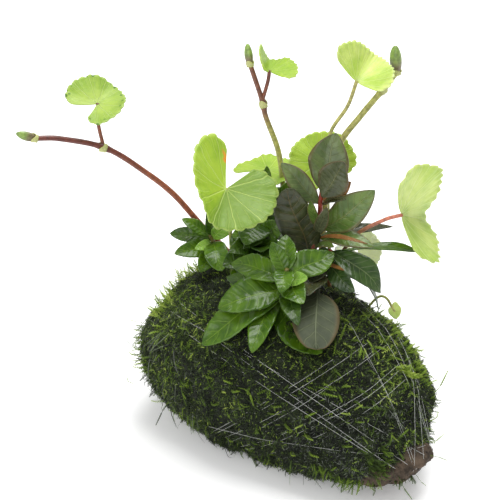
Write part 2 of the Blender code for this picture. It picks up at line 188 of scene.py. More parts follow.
def seen(x, y, depth):
    # the place behind a dot of the picture that lies depth mm behind the stone's middle
    sight = sightLine(x, y)
    return cameraPlace + sight * ((depth / 1000 - cameraPlace.y) / sight.y)


def setUpStudio():
    bpy.ops.object.camera_add(location=cameraPlace)
    camera = bpy.context.object
    camera.rotation_euler = (lookAt - cameraPlace).to_track_quat("-Z", "Y").to_euler()
    camera.data.lens = studio["lens"]
    camera.data.sensor_width = 36
    bpy.context.scene.camera = camera

    bpy.ops.mesh.primitive_plane_add(size=6, location=(0, 0, -0.0002))
    floor = bpy.context.object
    floor.name = "paleFloor"
    floor.data.materials.append(newFinish(
        "paleFloor", 0.9, studio["floorColour"], Specular_IOR_Level=0.1, Emission_Color=(1, 1, 1, 1),
        Emission_Strength=studio["floorGlow"],
    ))

    sky = bpy.data.worlds.new("studioSky")
    sky.use_nodes = True
    glow = sky.node_tree.nodes["Background"].inputs
    glow["Color"].default_value = (1, 1, 1, 1)
    glow["Strength"].default_value = studio["skyStrength"]
    bpy.context.scene.world = sky
    for which in ("key", "fill"):
        spot = Vector(studio[which + "Place"])
        bpy.ops.object.light_add(type="AREA", location=spot)
        light = bpy.context.object
        light.rotation_euler = (lookAt - spot).to_track_quat("-Z", "Y").to_euler()
        light.data.size = studio[which + "Size"]
        light.data.energy = studio[which + "Power"]
    bpy.context.scene.view_settings.view_transform = "Standard"


setUpStudio()
print("studio ready")


# finishes

def operation(name):
    def reckon(*values):
        return values[0].desk.node("Math", dict(enumerate(values)), operation=name)
    return reckon


class Reading:
    # a value that a finish's nodes work out, to be reckoned with like a number
    def __init__(self, desk, socket):
        self.desk = desk
        self.socket = socket

    __add__ = operation("ADD")
    __sub__ = operation("SUBTRACT")
    __mul__ = operation("MULTIPLY")
    __truediv__ = operation("DIVIDE")
    __abs__ = operation("ABSOLUTE")
    orMore = operation("MAXIMUM")
    fraction = operation("FRACT")
    root = operation("SQRT")
    angleFrom = operation("ARCTAN2")


class NodeDesk:
    # a short way to wire a finish's nodes
    def __init__(self, finish):
        self.tree = finish.node_tree
        self.shader = self.tree.nodes["Principled BSDF"]

    def plug(self, socket, value):
        if isinstance(value, Reading):
            self.tree.links.new(value.socket, socket)
        else:
            socket.default_value = (*value, 1) if isinstance(value, tuple) else value

    def node(self, kind, inputs, output=0, **settings):
        made = self.tree.nodes.new("ShaderNode" + kind)
        for key, value in settings.items():
            setattr(made, key, value)
        for key, value in inputs.items():
            self.plug(made.inputs[key], value)
        return Reading(self, made.outputs[output])

    def blend(self, factor, first, second):
        return self.node("Mix", {0: factor, 6: first, 7: second}, 2, data_type="RGBA")

    def step(self, value, low, high):
        return self.node("MapRange", {0: value, 1: low, 2: high}, interpolation_type="SMOOTHSTEP")

    def ramp(self, value, stops):
        made = self.node("ValToRGB", {0: value})
        marks = made.socket.node.color_ramp.elements
        while len(marks) < len(stops):
            marks.new(0.5)
        for mark, (place, colour) in zip(marks, stops):
            mark.position = place
            mark.color = (*colour, 1)
        return made

    def spot(self, kind="Object"):
        return self.node("TexCoord", {}, kind)

    def cloud(self, scale, detail=3.0, roughness=0.5):
        inputs = dict(Vector=self.spot(), Scale=scale, Detail=detail, Roughness=roughness)
        return self.node("TexNoise", inputs)

    def cells(self, scale):
        return self.node("TexVoronoi", dict(Vector=self.spot(), Scale=scale))

    def flat(self):
        # the blade's own flat plan, as two numbers from 0 to 1
        return [self.node("SeparateXYZ", {0: self.spot("UV")}, axis) for axis in (0, 1)]

    def noted(self, name):
        return self.node("Attribute", {}, "Fac", attribute_name=name)

    def bump(self, height, depth, strength=1.0):
        bump = self.node("Bump", dict(Height=height, Distance=depth, Strength=strength))
        self.plug(self.shader.inputs["Normal"], bump)

    def colour(self, value):
        self.plug(self.shader.inputs["Base Color"], value)


def longLook(name, dark, light, vein, veins, roughness, veinShow, edge=None, subsurface=0.0, sheen=0.26):
    # side veins sweep forward from the midrib to the rim
    finish = newFinish(
        name, roughness, Subsurface_Weight=subsurface, Subsurface_Scale=0.002, Specular_IOR_Level=0.25,
        Coat_Weight=sheen, Coat_Roughness=0.14,
    )
    desk = NodeDesk(finish)
    along, across = desk.flat()
    offMiddle = abs(across - 0.5)
    midrib = desk.step(offMiddle, 0.03, 0.008)
    swept = along - offMiddle * veinSweep + desk.cloud(260, 1.0) * 0.035
    fromVein = abs((swept * veins).fraction() - 0.5)
    sideVein = desk.step(fromVein, 0.1, 0.02) * desk.step(offMiddle, 0.5, 0.3)
    anyVein = midrib.orMore(sideVein * 0.6)
    body = desk.blend(desk.step(desk.cloud(170, 4.0, 0.6), 0.32, 0.68), dark, light)
    if edge:
        body = desk.blend(desk.step(offMiddle, 0.36, 0.5), body, edge)
    desk.colour(desk.blend(anyVein * veinShow, body, vein))
    desk.bump(fromVein * 0.6 - anyVein + desk.cloud(900, 2.0) * 0.5, 0.00035, 0.7)
    return finish


def roundLook(name, dark, light, vein, roughness, subsurface, scorch=None, spots=None, shadedHalf=None):
    # main veins run from the stalk's spot to the rim and fork near it
    finish = newFinish(
        name, roughness, Subsurface_Weight=subsurface, Subsurface_Scale=0.003, Specular_IOR_Level=0.3,
    )
    desk = NodeDesk(finish)
    x, y = [share - 0.5 for share in desk.flat()]
    fromStalk = (x * x + y * y).root() * 2.0
    turned = ((y.angleFrom(x) + 2 * math.pi) / (2 * math.pi)).fraction()
    swayed = turned + (desk.cloud(140, 1.0) - 0.5) * 0.035 * fromStalk

    def spokes(count, thin, start):
        away = abs((swayed * count).fraction() - 0.5)
        width = away * fromStalk * (2 * math.pi / count)
        return desk.step(width, thin, thin * 0.3) * desk.step(fromStalk, start, start + 0.12)

    forks = spokes(21.6, 0.013, 0.5) * 0.6
    fineForks = spokes(43.2, 0.01, 0.72) * 0.35
    spot = desk.step(fromStalk, 0.07, 0.02)
    anyVein = spokes(10.8, 0.02, -0.1).orMore(forks).orMore(fineForks.orMore(spot))
    body = desk.blend(desk.step(desk.cloud(90, 4.0, 0.6), 0.35, 0.65), dark, light)
    # painted shade: from about 0.4 of its sweep on, the blade is painted a darker green for the half turned
    # from the light
    if shadedHalf:
        body = desk.blend(desk.step(turned, 0.36, 0.44) * 0.8, body, shadedHalf)
    body = desk.blend(desk.step(fromStalk, 0.93, 0.99) * 0.35, body, vein)
    body = desk.blend(anyVein * 0.4, body, vein)
    if scorch:
        alongEdge = desk.step(fromStalk, 0.56, 0.64) * desk.step(fromStalk, 0.86, 0.78)
        patchy = alongEdge * desk.step(desk.cloud(420, 2.0), 0.36, 0.5)
        body = desk.blend(desk.step(turned, *scorch) * patchy, body, (0.6, 0.22, 0.03))
    if spots:
        nearRim = desk.step(fromStalk, 0.78, 0.9)
        body = desk.blend(desk.step(desk.cells(400), 0.3, 0.2) * nearRim, body, spots)
    desk.colour(body)
    desk.bump(anyVein * -1.0 + desk.cloud(260, 3.0) * 1.6, 0.0004, 0.6)
    return finish


def stemLook(name, low, high, change=(0.3, 0.8)):
    # from its low colour to its high one where change says, as shares of the way along the stem
    finish = newFinish(name, 0.4, Subsurface_Weight=0.1, Subsurface_Scale=0.002)
    desk = NodeDesk(finish)
    share = desk.step(desk.noted("share"), *change)
    tint = desk.blend(share, low, high)
    darker = desk.blend(share, tuple(0.55 * c for c in low), tuple(0.55 * c for c in high))
    desk.colour(desk.blend(desk.step(desk.cloud(700, 3.0), 0.3, 0.7), darker, tint))
    desk.bump(desk.cloud(900, 2.0), 0.0002, 0.5)
    return finish


# of a leaf: its dark, light and vein colours, then a long one's veins, roughness and how far its veins show,
# or a round one's roughness and subsurface; of a stem: its low and high colours
finishes = {finish.name: finish for finish in (
    longLook("hygrophilaLeaf", (0.03, 0.078, 0.003), (0.07, 0.148, 0.005), (0.15, 0.26, 0.018), 7, 0.34,
             0.6, subsurface=0.12),
    longLook("hygrophilaShadedLeaf", (0.017, 0.046, 0.003), (0.042, 0.09, 0.005), (0.08, 0.16, 0.015), 7,
             0.38, 0.5, subsurface=0.08),
    longLook("hygrophilaYoungLeaf", (0.13, 0.26, 0.03), (0.22, 0.38, 0.06), (0.4, 0.56, 0.16), 6, 0.34, 0.6,
             subsurface=0.2),
    longLook("hygrophilaUnderside", (0.07, 0.13, 0.03), (0.12, 0.2, 0.05), (0.24, 0.34, 0.12), 7, 0.5, 0.8,
             subsurface=0.12),
    longLook("ludwigiaLeaf", (0.06, 0.092, 0.026), (0.115, 0.16, 0.048), (0.18, 0.19, 0.07), 9, 0.3, 0.45,
             edge=(0.09, 0.07, 0.025)),
    longLook("ludwigiaGreenLeaf", (0.058, 0.11, 0.018), (0.13, 0.2, 0.04), (0.22, 0.24, 0.07), 9, 0.3, 0.5,
             edge=(0.1, 0.09, 0.03)),
    longLook("ludwigiaBrownLeaf", (0.02, 0.026, 0.009), (0.052, 0.06, 0.02), (0.12, 0.09, 0.03), 9, 0.27,
             0.5),
    longLook("ludwigiaGreyLeaf", (0.044, 0.054, 0.024), (0.09, 0.106, 0.052), (0.19, 0.19, 0.09), 9, 0.34,
             0.5, edge=(0.09, 0.07, 0.03)),
    longLook("ludwigiaUnderside", (0.16, 0.065, 0.015), (0.24, 0.12, 0.025), (0.36, 0.12, 0.03), 9, 0.42,
             0.7),
    longLook("ludwigiaDullLeaf", (0.034, 0.044, 0.02), (0.054, 0.066, 0.031), (0.2, 0.23, 0.13), 8, 0.6,
             0.35, edge=(0.09, 0.07, 0.03), sheen=0.0),
    longLook("ludwigiaDeepLeaf", (0.016, 0.04, 0.008), (0.045, 0.09, 0.018), (0.16, 0.22, 0.08), 9, 0.2,
             0.5),
    roundLook("pennywortFadedLeaf", (0.66, 0.76, 0.52), (0.76, 0.84, 0.64), (0.82, 0.9, 0.72), 0.45, 0.3),
    roundLook("pennywortLeaf", (0.21, 0.34, 0.028), (0.3, 0.43, 0.045), (0.5, 0.62, 0.2), 0.45, 0.2),
    roundLook("pennywortScorchedLeaf", (0.21, 0.345, 0.024), (0.29, 0.42, 0.038), (0.48, 0.6, 0.18), 0.45,
              0.2, scorch=(0.034, 0.012), shadedHalf=(0.125, 0.212, 0.038)),
    roundLook("pennywortSpottedLeaf", (0.2, 0.32, 0.045), (0.3, 0.41, 0.08), (0.48, 0.6, 0.24), 0.45, 0.2,
              spots=(0.07, 0.16, 0.02)),
    roundLook("pennywortPaleLeaf", (0.32, 0.46, 0.08), (0.5, 0.61, 0.18), (0.66, 0.76, 0.38), 0.42, 0.25),
    roundLook("pennywortUnderside", (0.28, 0.42, 0.09), (0.36, 0.5, 0.13), (0.5, 0.62, 0.26), 0.5, 0.2),
    stemLook("redBrownStem", (0.3, 0.085, 0.035), (0.15, 0.035, 0.022), change=(0.45, 0.75)),
    stemLook("oliveStem", (0.42, 0.42, 0.1), (0.2, 0.075, 0.04), change=(0.66, 0.8)),
    stemLook("oliveBrownStem", (0.4, 0.36, 0.09), (0.46, 0.45, 0.13)),
    stemLook("pinkStalk", (0.3, 0.14, 0.05), (0.55, 0.17, 0.1), change=(0.5, 0.9)),
    stemLook("greenStalk", (0.32, 0.36, 0.08), (0.5, 0.46, 0.15), change=(0.5, 0.95)),
    stemLook("darkRedStalk", (0.24, 0.07, 0.03), (0.16, 0.04, 0.02)),
    stemLook("redStem", (0.2, 0.04, 0.015), (0.34, 0.045, 0.02)),
    stemLook("brownStem", (0.1, 0.055, 0.02), (0.16, 0.14, 0.03)),
    stemLook("budGreen", (0.2, 0.16, 0.08), (0.24, 0.36, 0.08), change=(0.2, 0.7)),
    newFinish("budCollar", 0.4, (0.44, 0.46, 0.18), Subsurface_Weight=0.2, Subsurface_Scale=0.002),
)}
print("finishes ready:", len(finishes))


# stems

stemPlans = {
    "hygrophila_front": dict(
        root=(-3, -12), way=[(-1, -12, 71), (0, -12, 79)], radius=1.0, finish="brownStem",
    ),
    "hygrophila_left": dict(
        root=(-25, 33), way=[(-28, 33, 66), (-30, 33, 71)], radius=1.0, finish="brownStem",
    ),
    "hygrophila_back": dict(
        root=(-12, 15), way=[(-11, 17, 76), (-9, 20, 87), (-8, 22, 94)], radius=1.0, finish="brownStem",
    ),
    "ludwigia_tall": dict(
        root=(9, 5), way=[(10, 6, 77), (12.5, 7, 85), (13, 8, 97), (13.5, 9, 102)], radius=1.1,
        finish="redStem",
    ),
    "ludwigia_low": dict(root=(11, 0), way=[(14, 0, 75), (17, 0, 81)], radius=1.0, finish="redStem"),
    "pennywort_runner_left": dict(
        root=(-22, 40), radius=1.3, bud=(-104, 22, 120), node=0.73, finish="redBrownStem",
        way=[(-33, 38, 72), (-44, 36, 87), (-54, 34, 97), (-70, 30, 110), (-88, 26, 116), (-97, 24, 117)],
    ),
    "pennywort_runner_middle": dict(
        root=(0, 24), radius=1.2, bud=(-15, 37, 151), node=0.8, finish="oliveStem",
        way=[(-1, 28, 94), (-3, 30, 109), (-8, 32, 123), (-9, 33, 128), (-14, 36, 143)],
    ),
    "pennywort_runner_right": dict(
        root=(14, 19), radius=1.4, bud=(42, 40, 149), budWidth=1.7, node=0.9, finish="oliveBrownStem",
        way=[(16, 25, 95), (21, 30, 112), (29, 34, 122), (38, 38, 132), (43, 40, 138)],
    ),
    "pennywort_runner_low": dict(
        root=(7, 18), way=[(12, 14, 69), (20, 10, 67.5), (28, 8, 64)], radius=1.0, finish="oliveStem",
    ),
}


def treeOf(*things):
    # one search tree of the faces of several objects
    points, faces = [], []
    for thing in things:
        faces += [[corner + len(points) for corner in face.vertices] for face in thing.data.polygons]
        points += [vert.co.copy() for vert in thing.data.vertices]
    return bvhtree.BVHTree.FromPolygons(points, faces)


solidTree = treeOf(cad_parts["moss_mat"])


def mossHeight(x, y, pocket=2.6):
    # the moss's top beside a stem's pocket
    tops = []
    for aside, back in ((pocket, 0), (-pocket, 0), (0, pocket), (0, -pocket)):
        hit = solidTree.ray_cast(Vector(((x + aside) / 1000, (y + back) / 1000, 0.2)), -up)
        tops.append(hit[0].z)
    return sum(sorted(tops)[1:3]) / 2


def smoothWay(points, steps):
    padded = [points[0]] + list(points) + [points[-1]]
    slopes = [(after - before).normalized() for before, after in zip(padded, padded[2:])]
    way = []
    for start, end, slope, nextSlope in zip(points, points[1:], slopes, slopes[1:]):
        reach = (end - start).length / 3
        way += interpolate_bezier(start, start + slope * reach, end - nextSlope * reach, end, steps + 1)[:-1]
    return way + [points[-1]]


def rootedWay(root, points):
    x, y = root
    height = mossHeight(x, y)
    foot = inMm((x, y, 0))
    return [foot + up * (height - rootDepth), foot + up * height, foot + up * (height + 0.002)] + points


def wayLength(way):
    return sum((end - start).length for start, end in zip(way, way[1:]))


def spotOn(way, share):
    # the spot at a share of a stem's way out of the moss, and the way's direction there
    left = rootDepth + share * (wayLength(way) - rootDepth)
    for start, end in zip(way, way[1:]):
        length = (end - start).length
        if left <= length:
            break
        left -= length
    return start.lerp(end, left / length), (end - start).normalized()


def drawCurve(way, radii, roundness, closed=False):
    # a tube through a row of places, as a mesh
    bpy.ops.curve.primitive_nurbs_path_add()
    line = bpy.context.object
    line.data.splines.clear()
    line.data.dimensions = "3D"
    line.data.bevel_depth = 1
    line.data.bevel_resolution = roundness
    line.data.use_fill_caps = not closed
    spline = line.data.splines.new("POLY")
    spline.points.add(len(way) - 1)
    for point, place, radius in zip(spline.points, way, radii):
        point.co = (*place, 1)
        point.radius = radius
    spline.use_cyclic_u = closed
    pickOnly(line)
    bpy.ops.object.convert(target="MESH")
    return bpy.context.object


def drawTube(way, radii):
    tube = drawCurve(way, radii, 4)
    editAll(tube)
    bpy.ops.mesh.remove_doubles(threshold=0.00001)
    bpy.ops.mesh.normals_make_consistent(inside=False)
    leaveEdit()
    noteShare(tube, way)
    return tube


def noteShare(tube, way):
    # how far along its way each point of a stem lies, for its colour
    places = np.array([tuple(point) for point in way])
    steps = np.concatenate([[0], np.cumsum(np.linalg.norm(np.diff(places, axis=0), axis=1))])
    points = np.array([tuple(vert.co) for vert in tube.data.vertices])
    nearest = np.linalg.norm(points[:, None, :] - places[None, :, :], axis=2).argmin(axis=1)
    note = tube.data.attributes.new("share", "FLOAT", "POINT")
    note.data.foreach_set("value", (steps[nearest] / steps[-1]).astype(np.float32))


def growStems():
    ways = {}
    for name, plan in stemPlans.items():
        points = rootedWay(plan["root"], [inMm(point) for point in plan["way"]])
        fine = smoothWay(points, 8)
        radius = plan["radius"] / 1000
        joint = spotOn(fine, plan["node"])[0] if "node" in plan else None
        radii = []
        for index, point in enumerate(fine):
            width = radius * (1.05 - 0.25 * index / len(fine))
            width *= 1 + 0.05 * noise.noise(point * 300)
            if joint:
                width *= 1 + 0.45 * math.exp(-((point - joint).length / 0.0016) ** 2)
            radii.append(width)
        node = name if name.startswith("pennywort") else name + "_stem"
        finishPiece(drawTube(fine, radii), name + "Stem", [finishes[plan["finish"]]], [node])
        ways[name] = (smoothWay(points, 2), radius)
    print("stems grown:", len(ways))
    return ways


stemWays = growStems()


# buds and the pale collars below them

def swellBetween(start, end, radius):
    # a rounded, faintly ridged body from start to end, narrower to its end
    bpy.ops.mesh.primitive_uv_sphere_add(segments=20, ring_count=12, radius=1)
    body = bpy.context.object
    axis = (end - start).normalized()
    side, other = sidesOf(axis)
    half = (end - start).length / 2
    for vert in body.data.vertices:
        x, y, z = vert.co
        width = radius * (1 - 0.1 * smoothStep(0.0, 1.0, z))
        ridge = 1 + 0.1 * math.cos(3 * math.atan2(y, x))
        vert.co = start + axis * half * (1 + z) + (side * x + other * y) * width * ridge
    return body


def sheathe(start, end, radius, flare):
    # an open-topped collar round a stem, with a wall of its own
    bpy.ops.mesh.primitive_cylinder_add(
        vertices=20, radius=1, depth=1, end_fill_type="NOTHING", location=(0, 0, 0.5)
    )
    collar = bpy.context.object
    settlePlace(collar)
    editAll(collar)
    bpy.ops.mesh.subdivide(number_cuts=2)
    leaveEdit()
    axis = (end - start).normalized()
    side, other = sidesOf(axis)
    for vert in collar.data.vertices:
        x, y, z = vert.co
        lip = 1 + 0.35 * z * math.sin(math.atan2(y, x) * 2 + 0.6)
        width = radius * (1 + flare * z * z)
        vert.co = start + axis * (end - start).length * z * lip + (side * x + other * y) * width
    applyModifier(collar, "SOLIDIFY", thickness=0.00025, offset=1)
    return collar


def growBuds():
    for name, plan in stemPlans.items():
        if "bud" not in plan:
            continue
        way, radius = stemWays[name]
        end, tip = way[-1], inMm(plan["bud"])
        axis = (tip - end).normalized()
        bud = swellBetween(end - axis * 0.001, tip, radius * plan.get("budWidth", 1.35))
        noteShare(bud, [end.lerp(tip, share / 8) for share in range(9)])
        finishPiece(bud, name + "Bud", [finishes["budGreen"]], [name])
        joint, along = spotOn(way, plan["node"])
        for part, start, stop, wide, flare in (
            ("BudCollar", end - axis * 0.001, end + axis * 0.001, 1.02, 0.25),
            ("NodeCollar", joint - along * 0.001, joint + along * 0.0013, 1.16, 0.15),
        ):
            collar = sheathe(start, stop, radius * wide, flare)
            finishPiece(collar, name + part, [finishes["budCollar"]], [name])
        print("bud grown:", name)


growBuds()


# long blades

def bladeWidth(share, plan):
    # half the blade's width at a share of its length; a lower point makes its ends blunter
    past = (share - plan.get("starts", 0)) / (1 - plan.get("starts", 0))
    if not 0 < past < 1:
        return 0
    return 0.5 * math.sin(math.pi * past ** (math.log(0.5) / math.log(plan["widest"]))) ** plan["point"]


bladePlans = {
    "hygrophila": dict(lengthSteps=42, widest=0.47, point=0.68, stalk=0.045, quilt=0.022, veins=7, teeth=13),
    "ludwigia": dict(lengthSteps=36, widest=0.48, point=0.78, stalk=0.05, quilt=0.01, veins=9),
    "oval": dict(lengthSteps=36, widest=0.54, point=0.52, stalk=0.05, quilt=0.01, veins=9),
    "stalked": dict(lengthSteps=40, widest=0.51, point=0.43, stalk=0.06, quilt=0.003, veins=8, starts=0.25),
    "narrow": dict(lengthSteps=36, widest=0.55, point=0.9, stalk=0.16, quilt=0.01, veins=7, starts=0.28,
                   widthSteps=10),
}


def modelLongBlade(plan):
    # a flat grid from stalk to tip, narrowed row by row to the blade's outline
    steps = plan["lengthSteps"]
    bpy.ops.mesh.primitive_grid_add(
        x_subdivisions=steps, y_subdivisions=plan.get("widthSteps", 12), size=1, location=(0.5, 0, 0)
    )
    blade = bpy.context.object
    settlePlace(blade)
    for row in range(steps + 1):
        share = row / steps
        width = max(bladeWidth(share, plan), plan["stalk"] * (1 - 0.8 * share))
        if "teeth" in plan and 0.15 < share < 0.97:
            width *= 1 + 0.04 * ((share * plan["teeth"]) % 1 - 0.5)
        selectPoints(blade, lambda place: abs(place.x - share) < 0.001)
        bpy.ops.transform.resize(value=(1, 2 * width, 1), center_override=(share, 0, 0))
    leaveEdit()
    for vert in blade.data.vertices:
        share, side = vert.co.x, abs(vert.co.y)
        swell = math.sin(math.pi * ((share - veinSweep * side) * plan["veins"] - 0.25)) ** 2
        inside = smoothStep(0.0, 0.12, side) * smoothStep(0.08, 0.2, share) * smoothStep(1.0, 0.85, share)
        vert.co.z = plan["quilt"] * swell * inside + 0.035 * smoothStep(0.09, 0.0, side)
    return blade


def layLongBlade(model, base, tip, plan, chance):
    # lays a copy of the flat blade from its stalk over an arch to its tip
    width = plan["width"] / 1000
    facing = Vector(plan["faces"]).normalized()
    chord = (tip - base).normalized()
    overhead = (facing - chord * facing.dot(chord)).normalized()
    middle = (base + tip) / 2 + overhead * plan["arch"] / 1000
    middle += chord.cross(facing).normalized() * plan.get("bow", 0) / 1000
    waves = chance.uniform(1.6, 2.6)
    phase = chance.uniform(0, 6)
    ripple = plan.get("ripple", 0.05) * width
    twist = math.radians(plan.get("twist", chance.uniform(-14, 14)))
    fold = plan.get("fold", 0.25)
    sway = chance.uniform(-0.06, 0.06) * width
    blade = copyOf(model)
    for vert in blade.data.vertices:
        share, side, relief = vert.co
        spine = base * (1 - share) ** 2 + middle * 2 * share * (1 - share) + tip * share ** 2
        along = ((middle - base) * (1 - share) + (tip - middle) * share).normalized()
        level = along.cross(facing).normalized()
        above = level.cross(along)
        turn = twist * math.sin(math.pi * share)
        across = level * math.cos(turn) + above * math.sin(turn)
        lift = above * math.cos(turn) - level * math.sin(turn)
        rise = abs(side) * fold * width + relief * width
        rim = math.sin(2 * math.pi * waves * share + phase + (1.3 if side > 0 else 0))
        rise += ripple * (abs(side) * 2) ** 2 * rim
        vert.co = spine + across * (side * width + sway * math.sin(2 * math.pi * share)) + lift * rise
    settleBlade(blade, facing, 0.00035)
    return blade


def settleBlade(blade, facing, thickness):
    # turns the blade's upper side to the way it faces, then gives it its thickness below
    blade.data.update()
    if sum(face.normal.dot(facing) * face.area for face in blade.data.polygons) < 0:
        editAll(blade)
        bpy.ops.mesh.flip_normals()
        leaveEdit()
    applyModifier(
        blade, "SOLIDIFY", thickness=thickness, offset=-1, use_even_offset=False, material_offset=1,
        material_offset_rim=0,
    )


def leaf(at, tip, width, arch, faces, look="", **more):
    # at a share of the stem's length, with its tip, width, height of arch, facing and look
    return dict(at=at, tip=tip, width=width, arch=arch, faces=faces, look=look, **more)


# a tip is in mm, or seen at a dot of the picture at a depth; leaves past the solids' own come last
longLeaves = {
    "hygrophila_front": [
        leaf(0.72, (-21, -2, 76), 11, 4, (0, -0.6, 0.8), twist=-6),
        leaf(0.84, seen(272, 242, -6), 6.5, 1, (0.3, -0.9, 0.4)),
        leaf(0.91, seen(286, 235, 1), 8, 1, (0, -0.9, 0.4)),
        leaf(0.75, (18, -5, 82), 11.5, 3, (0, -0.6, 0.8)),
        leaf(0.94, seen(281, 293, -25), 8, 4, (0, -0.3, 0.95)),
        leaf(0.57, seen(303, 304, -28), 10, 4, (0, -0.3, 0.95)),
        leaf(0.42, (4, -33, 66), 8, 6, (0, -0.3, 0.95), "Shaded"),
        leaf(0.4, (-26, -20, 66), 14.5, 4, (-0.1, -0.5, 0.85), twist=4),
        leaf(0.24, (-32, -25, 53), 15.5, 8, (-0.2, -0.5, 0.85), twist=-4),
        leaf(0.1, seen(252, 353, -36), 9.5, 4, (0, -0.6, 0.8), bow=3),
        leaf(0.1, seen(322, 353, -33), 15, 0, (0, -0.6, 0.8), bow=3.5, twist=0),
        leaf(0.34, (-23, 0, 69), 9.5, 3, (0, -0.4, 0.9), "Shaded"),
        leaf(0.6, seen(307, 279, -20), 6.5, 2, (0, -0.5, 0.85), "Young", model="oval"),
    ],
    "hygrophila_left": [
        leaf(0.83, (-46, 36, 70), 7, 3, (0, -0.6, 0.8), "Shaded"),
        leaf(0.55, (-44, 26, 66), 7.5, 3, (0, -0.6, 0.8)),
        leaf(0.75, (-25, 17, 63), 9.5, 5, (-0.2, -0.6, 0.8), model="oval"),
        leaf(0.97, (-41, 33, 78), 5.5, 2, (0, -0.6, 0.8)),
        leaf(0.85, seen(229, 222, 30), 6.5, 1, (0, -0.9, 0.4), "Young", model="oval"),
        leaf(0.9, seen(209, 205, 32), 4.5, 1, (0, -0.9, 0.4), "Shaded"),
        leaf(0.7, seen(195, 249, 24), 4.5, 2, (0, -0.7, 0.7), "Young"),
        leaf(0.45, seen(200, 272, 21), 8, 3, (0, -0.7, 0.7)),
    ],
    "hygrophila_back": [
        leaf(0.4, (-22, 14, 76.5), 12, 2, (0, -0.7, 0.7), "Shaded"),
        leaf(0.14, (-19, 4, 69), 12, 3, (0, -0.6, 0.8), "Shaded"),
        leaf(0.62, (-16, 6, 80), 12, 4, (0, -0.5, 0.85), "Shaded"),
        leaf(0.6, (1, 18, 80), 13, 2, (0, -0.7, 0.7), "Shaded"),
        leaf(0.85, (0, 21, 97), 9, 2, (0, -0.8, 0.5)),
        leaf(0.8, (-18, 25, 98), 8, 1, (0, -0.9, 0.4)),
        leaf(0.26, (-4, 3, 75), 11, 1, (0, -0.7, 0.7), "Shaded"),
        leaf(0.35, seen(229, 252, 5), 8, 3, (0, -0.6, 0.8), "Shaded"),
        leaf(0.55, seen(232, 236, 13), 7.5, 2, (0, -0.7, 0.7)),
        leaf(0.22, seen(281, 246, 4), 11, 2, (0.1, -0.7, 0.7), "Shaded"),
        leaf(0.45, seen(284, 224, 14), 9, 2, (0, -0.8, 0.6)),
        leaf(0.5, seen(246, 248, 8), 9, 3, (0, -0.5, 0.85), "Shaded"),
        leaf(0.92, seen(267, 166, 22), 4.5, 1, (0, -0.9, 0.4)),
        leaf(0.7, seen(292, 179, 20), 5.5, 1, (0, -0.9, 0.4)),
        leaf(0.3, seen(262, 252, 2), 9, 2, (0, -0.5, 0.85), "Shaded"),
        leaf(0.16, seen(223, 266, 6), 11, 4, (0, -0.6, 0.8), "Shaded"),
        leaf(0.05, seen(232, 288, 0), 9, 4, (0, -0.5, 0.85)),
        leaf(0.32, seen(256, 236, 9), 13, 2, (0, -0.8, 0.6), "Shaded"),
        leaf(0.12, seen(233, 246, 10), 11, 2, (0, -0.8, 0.6), "Shaded"),
    ],
    "ludwigia_tall": [
        leaf(0.98, (19, 18, 122), 16, -1, (-0.2, -1, 0.3), twist=4),
        leaf(0.94, seen(345, 162, -1), 12.5, -2, (-0.4, -0.9, 0.2), "Grey", twist=-6),
        leaf(0.86, seen(281, 163, 13), 8.5, 2, (-0.1, -0.8, 0.5), fold=0.5),
        leaf(0.26, seen(287, 188, 7), 15.5, -2, (-0.1, -1, 0.2), "Brown", model="oval", twist=3),
        leaf(0.6, seen(375, 190, 4), 12.5, 1, (0, -0.9, 0.4), "Green", bow=2.5),
        leaf(0.5, seen(374, 247, -4), 9, 6, (0, -0.5, 0.85), "Green", fold=0.1),
        leaf(0.6, (9, 0, 102), 4.5, 1, (-0.3, -1, 0), "Green"),
        leaf(0.44, (42, 22, 80), 5, 5, (0, -0.3, 0.95), "Brown"),
        leaf(0.52, (15, -4, 101), 5, 1, (-0.2, -1, 0.2), "Grey"),
        leaf(0.9, seen(351, 182, 10), 7, 2, (0, -0.9, 0.4), finish="ludwigiaUnderside"),
        leaf(0.86, seen(346, 199, 2), 4.5, 2, (0, -0.4, 0.9), "Brown"),
        leaf(0.4, seen(334, 247, -6), 4, 2, (0, -0.5, 0.85), "Green"),
        leaf(0.49, seen(368, 244, -7), 1.7, 7, (0, -0.6, 0.7), finish="ludwigiaUnderside"),
        leaf(0.22, seen(337, 262, 4), 11, 2, (0, -0.8, 0.5), "Deep"),
        leaf(0.14, seen(300, 262, 5), 10, 2, (0, -0.8, 0.5), "Deep"),
    ],
    "ludwigia_low": [
        leaf(0.97, seen(380, 293, -6), 11, 8, (0.3, -0.6, 0.7), "Deep"),
        leaf(0.7, (26, -12, 69), 8, 1, (-0.3, -0.9, 0.3), "Deep"),
        leaf(0.67, (36, 2, 54), 4.5, 12, (0.3, -0.3, 0.9), "Deep"),
        leaf(0.24, seen(316, 350, -40), 18, 5, (0, -0.9, 0.45), "Dull", model="stalked", twist=2, fold=0.03,
             ripple=0.02),
        leaf(0.88, (52, 8, 76), 5, 7, (0, -0.3, 0.95), finish="hygrophilaLeaf", model="narrow"),
        leaf(0.6, (8, -15, 74), 8, 2, (0, -0.5, 0.85), "Brown"),
        leaf(0.4, seen(307, 296, -24), 9.5, 3, (0, -0.6, 0.8), "Brown"),
        leaf(0.66, seen(344, 270, -10), 1.8, 1, (0, -0.5, 0.85), finish="ludwigiaUnderside"),
    ],
}


